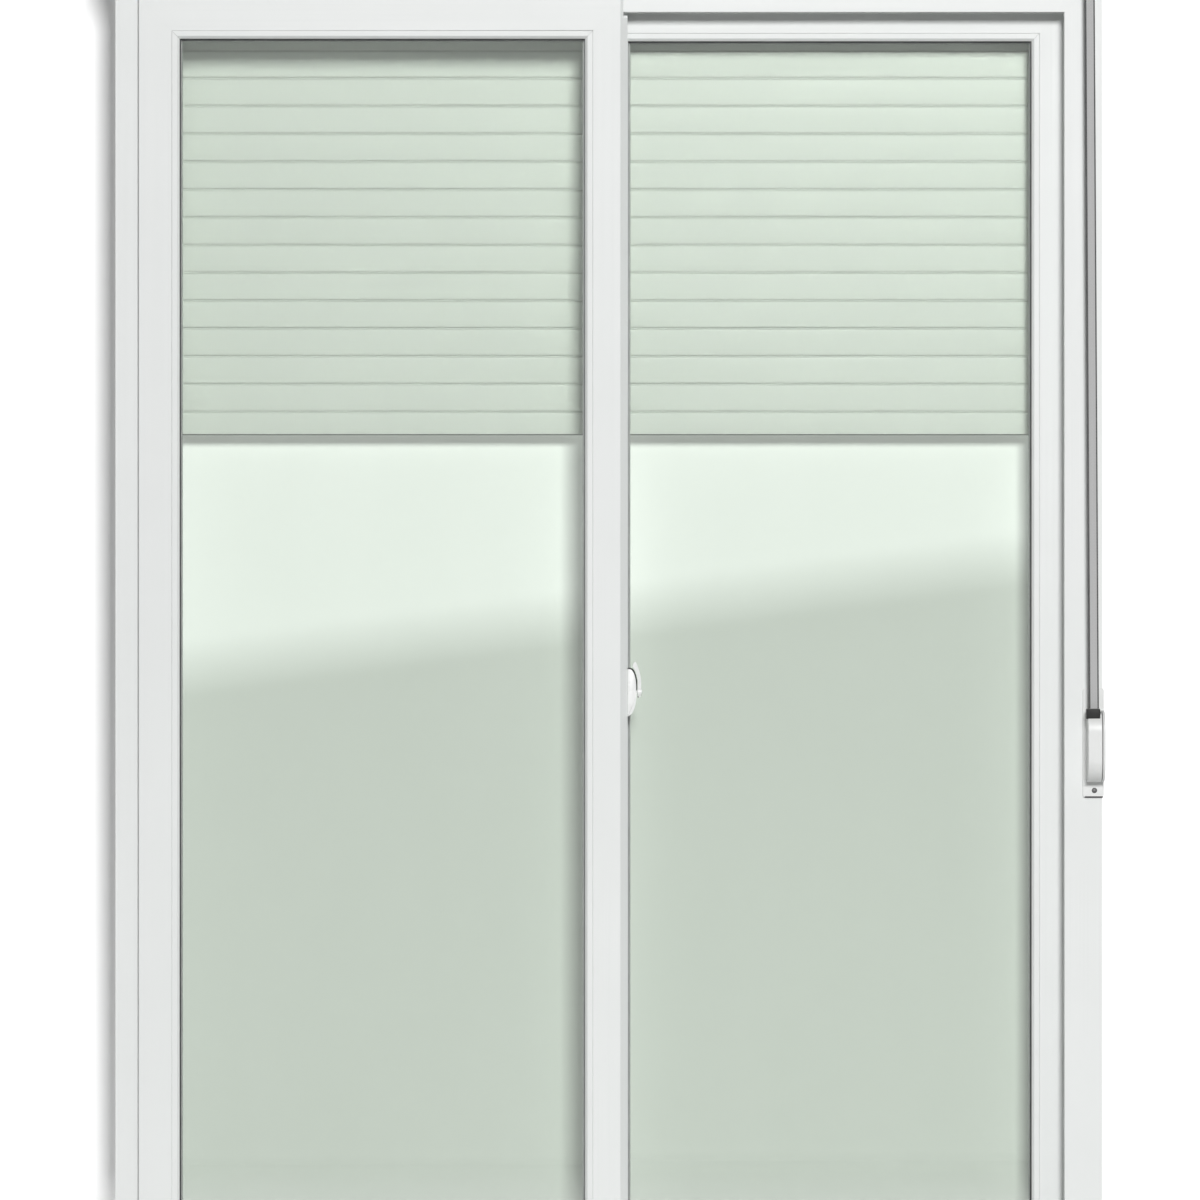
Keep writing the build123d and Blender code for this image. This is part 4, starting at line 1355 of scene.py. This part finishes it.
def screw_head(radius, dome, cross):
    """A screw head with a cross recess, its seat at z 0 and its dome up."""
    rise = [
        (0, -0.4 * dome),
        (radius, -0.4 * dome),
        (radius, 0.25 * dome),
        (0.86 * radius, 0.62 * dome),
        (0.55 * radius, 0.88 * dome),
        (0.25 * radius, 0.97 * dome),
        (0, dome),
    ]
    head = turned(rise, 28)
    slots = []
    for turn in (0, 90):
        slot = block_mesh((2 * cross, 0.36 * cross, 1.4 * dome), 0.1 * cross, 1)
        slot.transform(Matrix.Translation((0, 0, 1.05 * dome)) @ Matrix.Rotation(math.radians(turn), 4, "Z"))
        slots.append(slot)
    return carved(head, slots)


def make_fasteners(black):
    """Screws in the winder, the lock, the box caps and the strap's guide, and the rivet of the lock lever."""
    grain = (200.0, 200.0, 200.0)
    dark = metal_finish("dark screw", (0.20, 0.20, 0.20, 1), (0.09, 0.09, 0.09, 1), grain, 300.0)
    bright = metal_finish("bright screw", (0.72, 0.72, 0.71, 1), (0.5, 0.5, 0.5, 1), grain, 300.0)
    plate_low, plate_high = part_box("winder_plate")
    case_low, case_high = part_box("winder_case")
    screw_x = 0.7873
    below = (plate_low.z + case_low.z) / 2 - 1.4 * MM
    above = (plate_high.z + case_high.z) / 2 + 8 * MM
    room_side = (0, -1, 0)
    spots = [((screw_x, plate_low.y, z), room_side) for z in (below, above)]
    repeated("winder_screws", screw_head(3.1 * MM, 1.6 * MM, 1.5 * MM), spots, "frame", dark, 1.0, 3)
    ring = turned(
        [(3.0 * MM, -0.3 * MM), (4.3 * MM, -0.3 * MM), (4.3 * MM, 0.25 * MM), (3.9 * MM, 0.5 * MM),
         (3.3 * MM, 0.5 * MM), (3.0 * MM, 0.2 * MM), (3.0 * MM, -0.3 * MM)],
        28,
    )
    repeated("winder_screw_rings", ring, spots, "frame", black)

    base_low, base_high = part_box("lock_base")
    boss_x, boss_z = base_low.x, (base_low.z + base_high.z) / 2
    lock_screw_y, lock_screw_z = -39 * MM, 27 * MM
    spots = [
        ((boss_x + 10.95 * MM, lock_screw_y, boss_z - lock_screw_z), (0.942, 0, -0.335)),
        ((boss_x + 12.6 * MM, lock_screw_y, boss_z + lock_screw_z), (0.962, 0, 0.273)),
    ]
    small = screw_head(2.6 * MM, 0.9 * MM, 1.2 * MM)
    repeated("lock_base_screws", small, spots, "inner_leaf", bright, 1.0, 5)

    rivet = turned(
        [(0, -0.3 * MM), (1.3 * MM, -0.3 * MM), (1.3 * MM, 0.2 * MM), (1 * MM, 0.45 * MM), (0, 0.5 * MM)], 20
    )
    rivet_x, rivet_z = 47.6 * MM, 978.6 * MM
    lever_low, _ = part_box("lock_lever")
    spots = [((rivet_x, lever_low.y, rivet_z), room_side)]
    repeated("lock_lever_rivet", rivet, spots, "lock_lever", dark)

    cap_screw = screw_head(4 * MM, 2 * MM, 2 * MM)
    inset, sunk = 15 * MM, 1.6 * MM
    for side, name in ((-1, "left"), (1, "right")):
        low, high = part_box(f"shutter_box_{name}_cap")
        out = low.x if side < 0 else high.x
        spots = [
            ((out - side * sunk, y, z), (side, 0, 0))
            for y in (low.y + inset, high.y - inset)
            for z in (low.z + inset, high.z - inset)
        ]
        repeated(f"box_{name}_cap_screws", cap_screw, spots, "frame", bright, 0.72, 8 + side)

    low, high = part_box("strap_guide")
    edge = 4.2 * MM
    spots = [((x, (low.y + high.y) / 2, low.z), (0, 0, -1)) for x in (low.x + edge, high.x - edge)]
    guide_screw = screw_head(2.2 * MM, 0.8 * MM, 1.1 * MM)
    repeated("strap_guide_screws", guide_screw, spots, "frame", bright, 1.0, 2)


def make_caps(rubber):
    """Covers over the fixing holes, drain hoods outside and rubber buffers where the leaves close."""
    plastic = moulded_finish("white cap plastic", (0.80, 0.81, 0.80, 1), (0.75, 0.76, 0.75, 1), 1100.0)
    left, right, _, _ = frame_outline()
    walls = ((left + FRAME_BASE, (1, 0, 0)), (right - FRAME_BASE, (-1, 0, 0)))
    cap = turned(
        [(0, 0), (8.5 * MM, 0), (8.5 * MM, 0.6 * MM), (7.6 * MM, 1.3 * MM), (4 * MM, 1.7 * MM),
         (1.2 * MM, 1.75 * MM), (1.0 * MM, 1.4 * MM), (0, 1.4 * MM)],
        32,
    )
    cap_y, cap_heights = -12 * MM, (0.25, 1.075, 1.9)
    spots = [((x, cap_y, z), way) for z in cap_heights for x, way in walls]
    repeated("fixing_hole_caps", cap, spots, "frame", plastic)

    hood = block_mesh((38 * MM, 13 * MM, 7 * MM), 3 * MM, 4)
    mouth = block_mesh((31 * MM, 6 * MM, 5 * MM), 1 * MM, 2)
    mouth.transform(Matrix.Translation((0, -5.5 * MM, 1.2 * MM)))
    hood = carved(hood, [mouth])
    hood.transform(Matrix.Rotation(math.radians(-90), 4, "X"))
    hood_y, hood_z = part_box("frame_sill")[1].y + 2.6 * MM, 18 * MM
    hoods = []
    for x in (-0.58, -0.2, 0.2, 0.58):
        copy = hood.copy()
        copy.transform(Matrix.Translation((x, hood_y, hood_z)))
        hoods.append(copy)
    mesh = smooth_mesh(joined_mesh("hoods", hoods))
    new_piece("sill_drain_hoods", mesh, "frame", plastic)

    buffer = turned(
        [(0, 0), (6 * MM, 0), (6 * MM, 0.8 * MM), (4.6 * MM, 1.2 * MM), (4.2 * MM, 3 * MM),
         (3.2 * MM, 3.6 * MM), (0, 3.7 * MM)],
        24,
    )
    stiles = ("inner_leaf_left_stile", "outer_leaf_right_stile")
    depths = [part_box(stile)[1].y - 8 * MM for stile in stiles]
    buffer_heights = (0.32, 1.83)
    spots = [((x, y, z), way) for z in buffer_heights for (x, way), y in zip(walls, depths)]
    repeated("closing_buffers", buffer, spots, "frame", rubber)


def make_end_seal(rubber):
    """The ribbed rubber strip under the end slat."""
    low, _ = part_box("shutter_end_slat")
    guide_low, guide_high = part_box("left_shutter_guide")
    centre_y = (guide_low.y + guide_high.y) / 2
    reach, half_width, depth = 0.742, 3.7 * MM, 2.2 * MM
    ribs, rib_depth = 6, 0.25 * MM
    top = low.z + 0.6 * MM
    section = []
    steps = 14
    for i in range(steps + 1):
        angle = math.pi * (1 + i / steps)
        rib = rib_depth * math.cos(ribs * angle)
        y = centre_y + (half_width + rib) * math.cos(angle)
        section.append((y, top + (depth + rib) * math.sin(angle)))
    mesh = bar_mesh(section, -reach, reach)
    new_piece("end_slat_seal", smooth_mesh(mesh, 50), "frame", rubber)


def make_guide_brushes():
    """Pile seals in the grooves of the two shutter guides."""
    pile = moulded_finish("grey pile", (0.16, 0.16, 0.165, 1), (0.24, 0.24, 0.245, 1), 1800.0)
    slot, root, groove, half_back = 6.5 * MM, 0.4 * MM, 7.5 * MM, 1.3 * MM
    back_near, back_far = slot + 1.2 * MM, slot + 2.6 * MM
    backing, paths_front, paths_back = [], [], []
    for name, sign in (("left_shutter_guide", 1), ("right_shutter_guide", -1)):
        low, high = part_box(name)
        inner = high.x if sign > 0 else low.x
        x = inner - sign * groove
        middle = (low.y + high.y) / 2
        bottom, top = low.z + 2 * MM, high.z - 2 * MM
        for shift in (-0.7 * MM, 0.0, 0.7 * MM):
            for paths, y in ((paths_front, middle - slot - root), (paths_back, middle + slot + root)):
                paths.append([(x + shift, y, bottom), (x + shift, y, top)])
        for way in (-1, 1):
            near, far = sorted((middle + way * back_far, middle + way * back_near))
            left, right = x - half_back, x + half_back
            section = [(left, near), (right, near), (right, far), (left, far)]
            backing.append(bar_mesh(section, bottom, top, "Z"))
    values = {
        "Spacing": 2.6 * MM,
        "Length": 3.6 * MM,
        "Base Radius": 0.75 * MM,
        "Tip Radius": 0.12 * MM,
        "Stretch": 1.0,
        "Lean": 0.2,
        "Seed": 11,
    }
    rows_of_yarn("guide_brush_room_side", paths_front, "frame", pile, {**values, "Facing": (0.0, 1.0, 0.0)})
    rows_of_yarn("guide_brush_outside", paths_back, "frame", pile, {**values, "Facing": (0.0, -1.0, 0.0)})
    new_piece("guide_brush_backing", joined_mesh("backing", backing), "frame", pile)


make_stage()
dress_profiles()
rubber, black = dress_nodes()
make_strap()
make_fasteners(black)
make_caps(rubber)
make_end_seal(rubber)
make_guide_brushes()
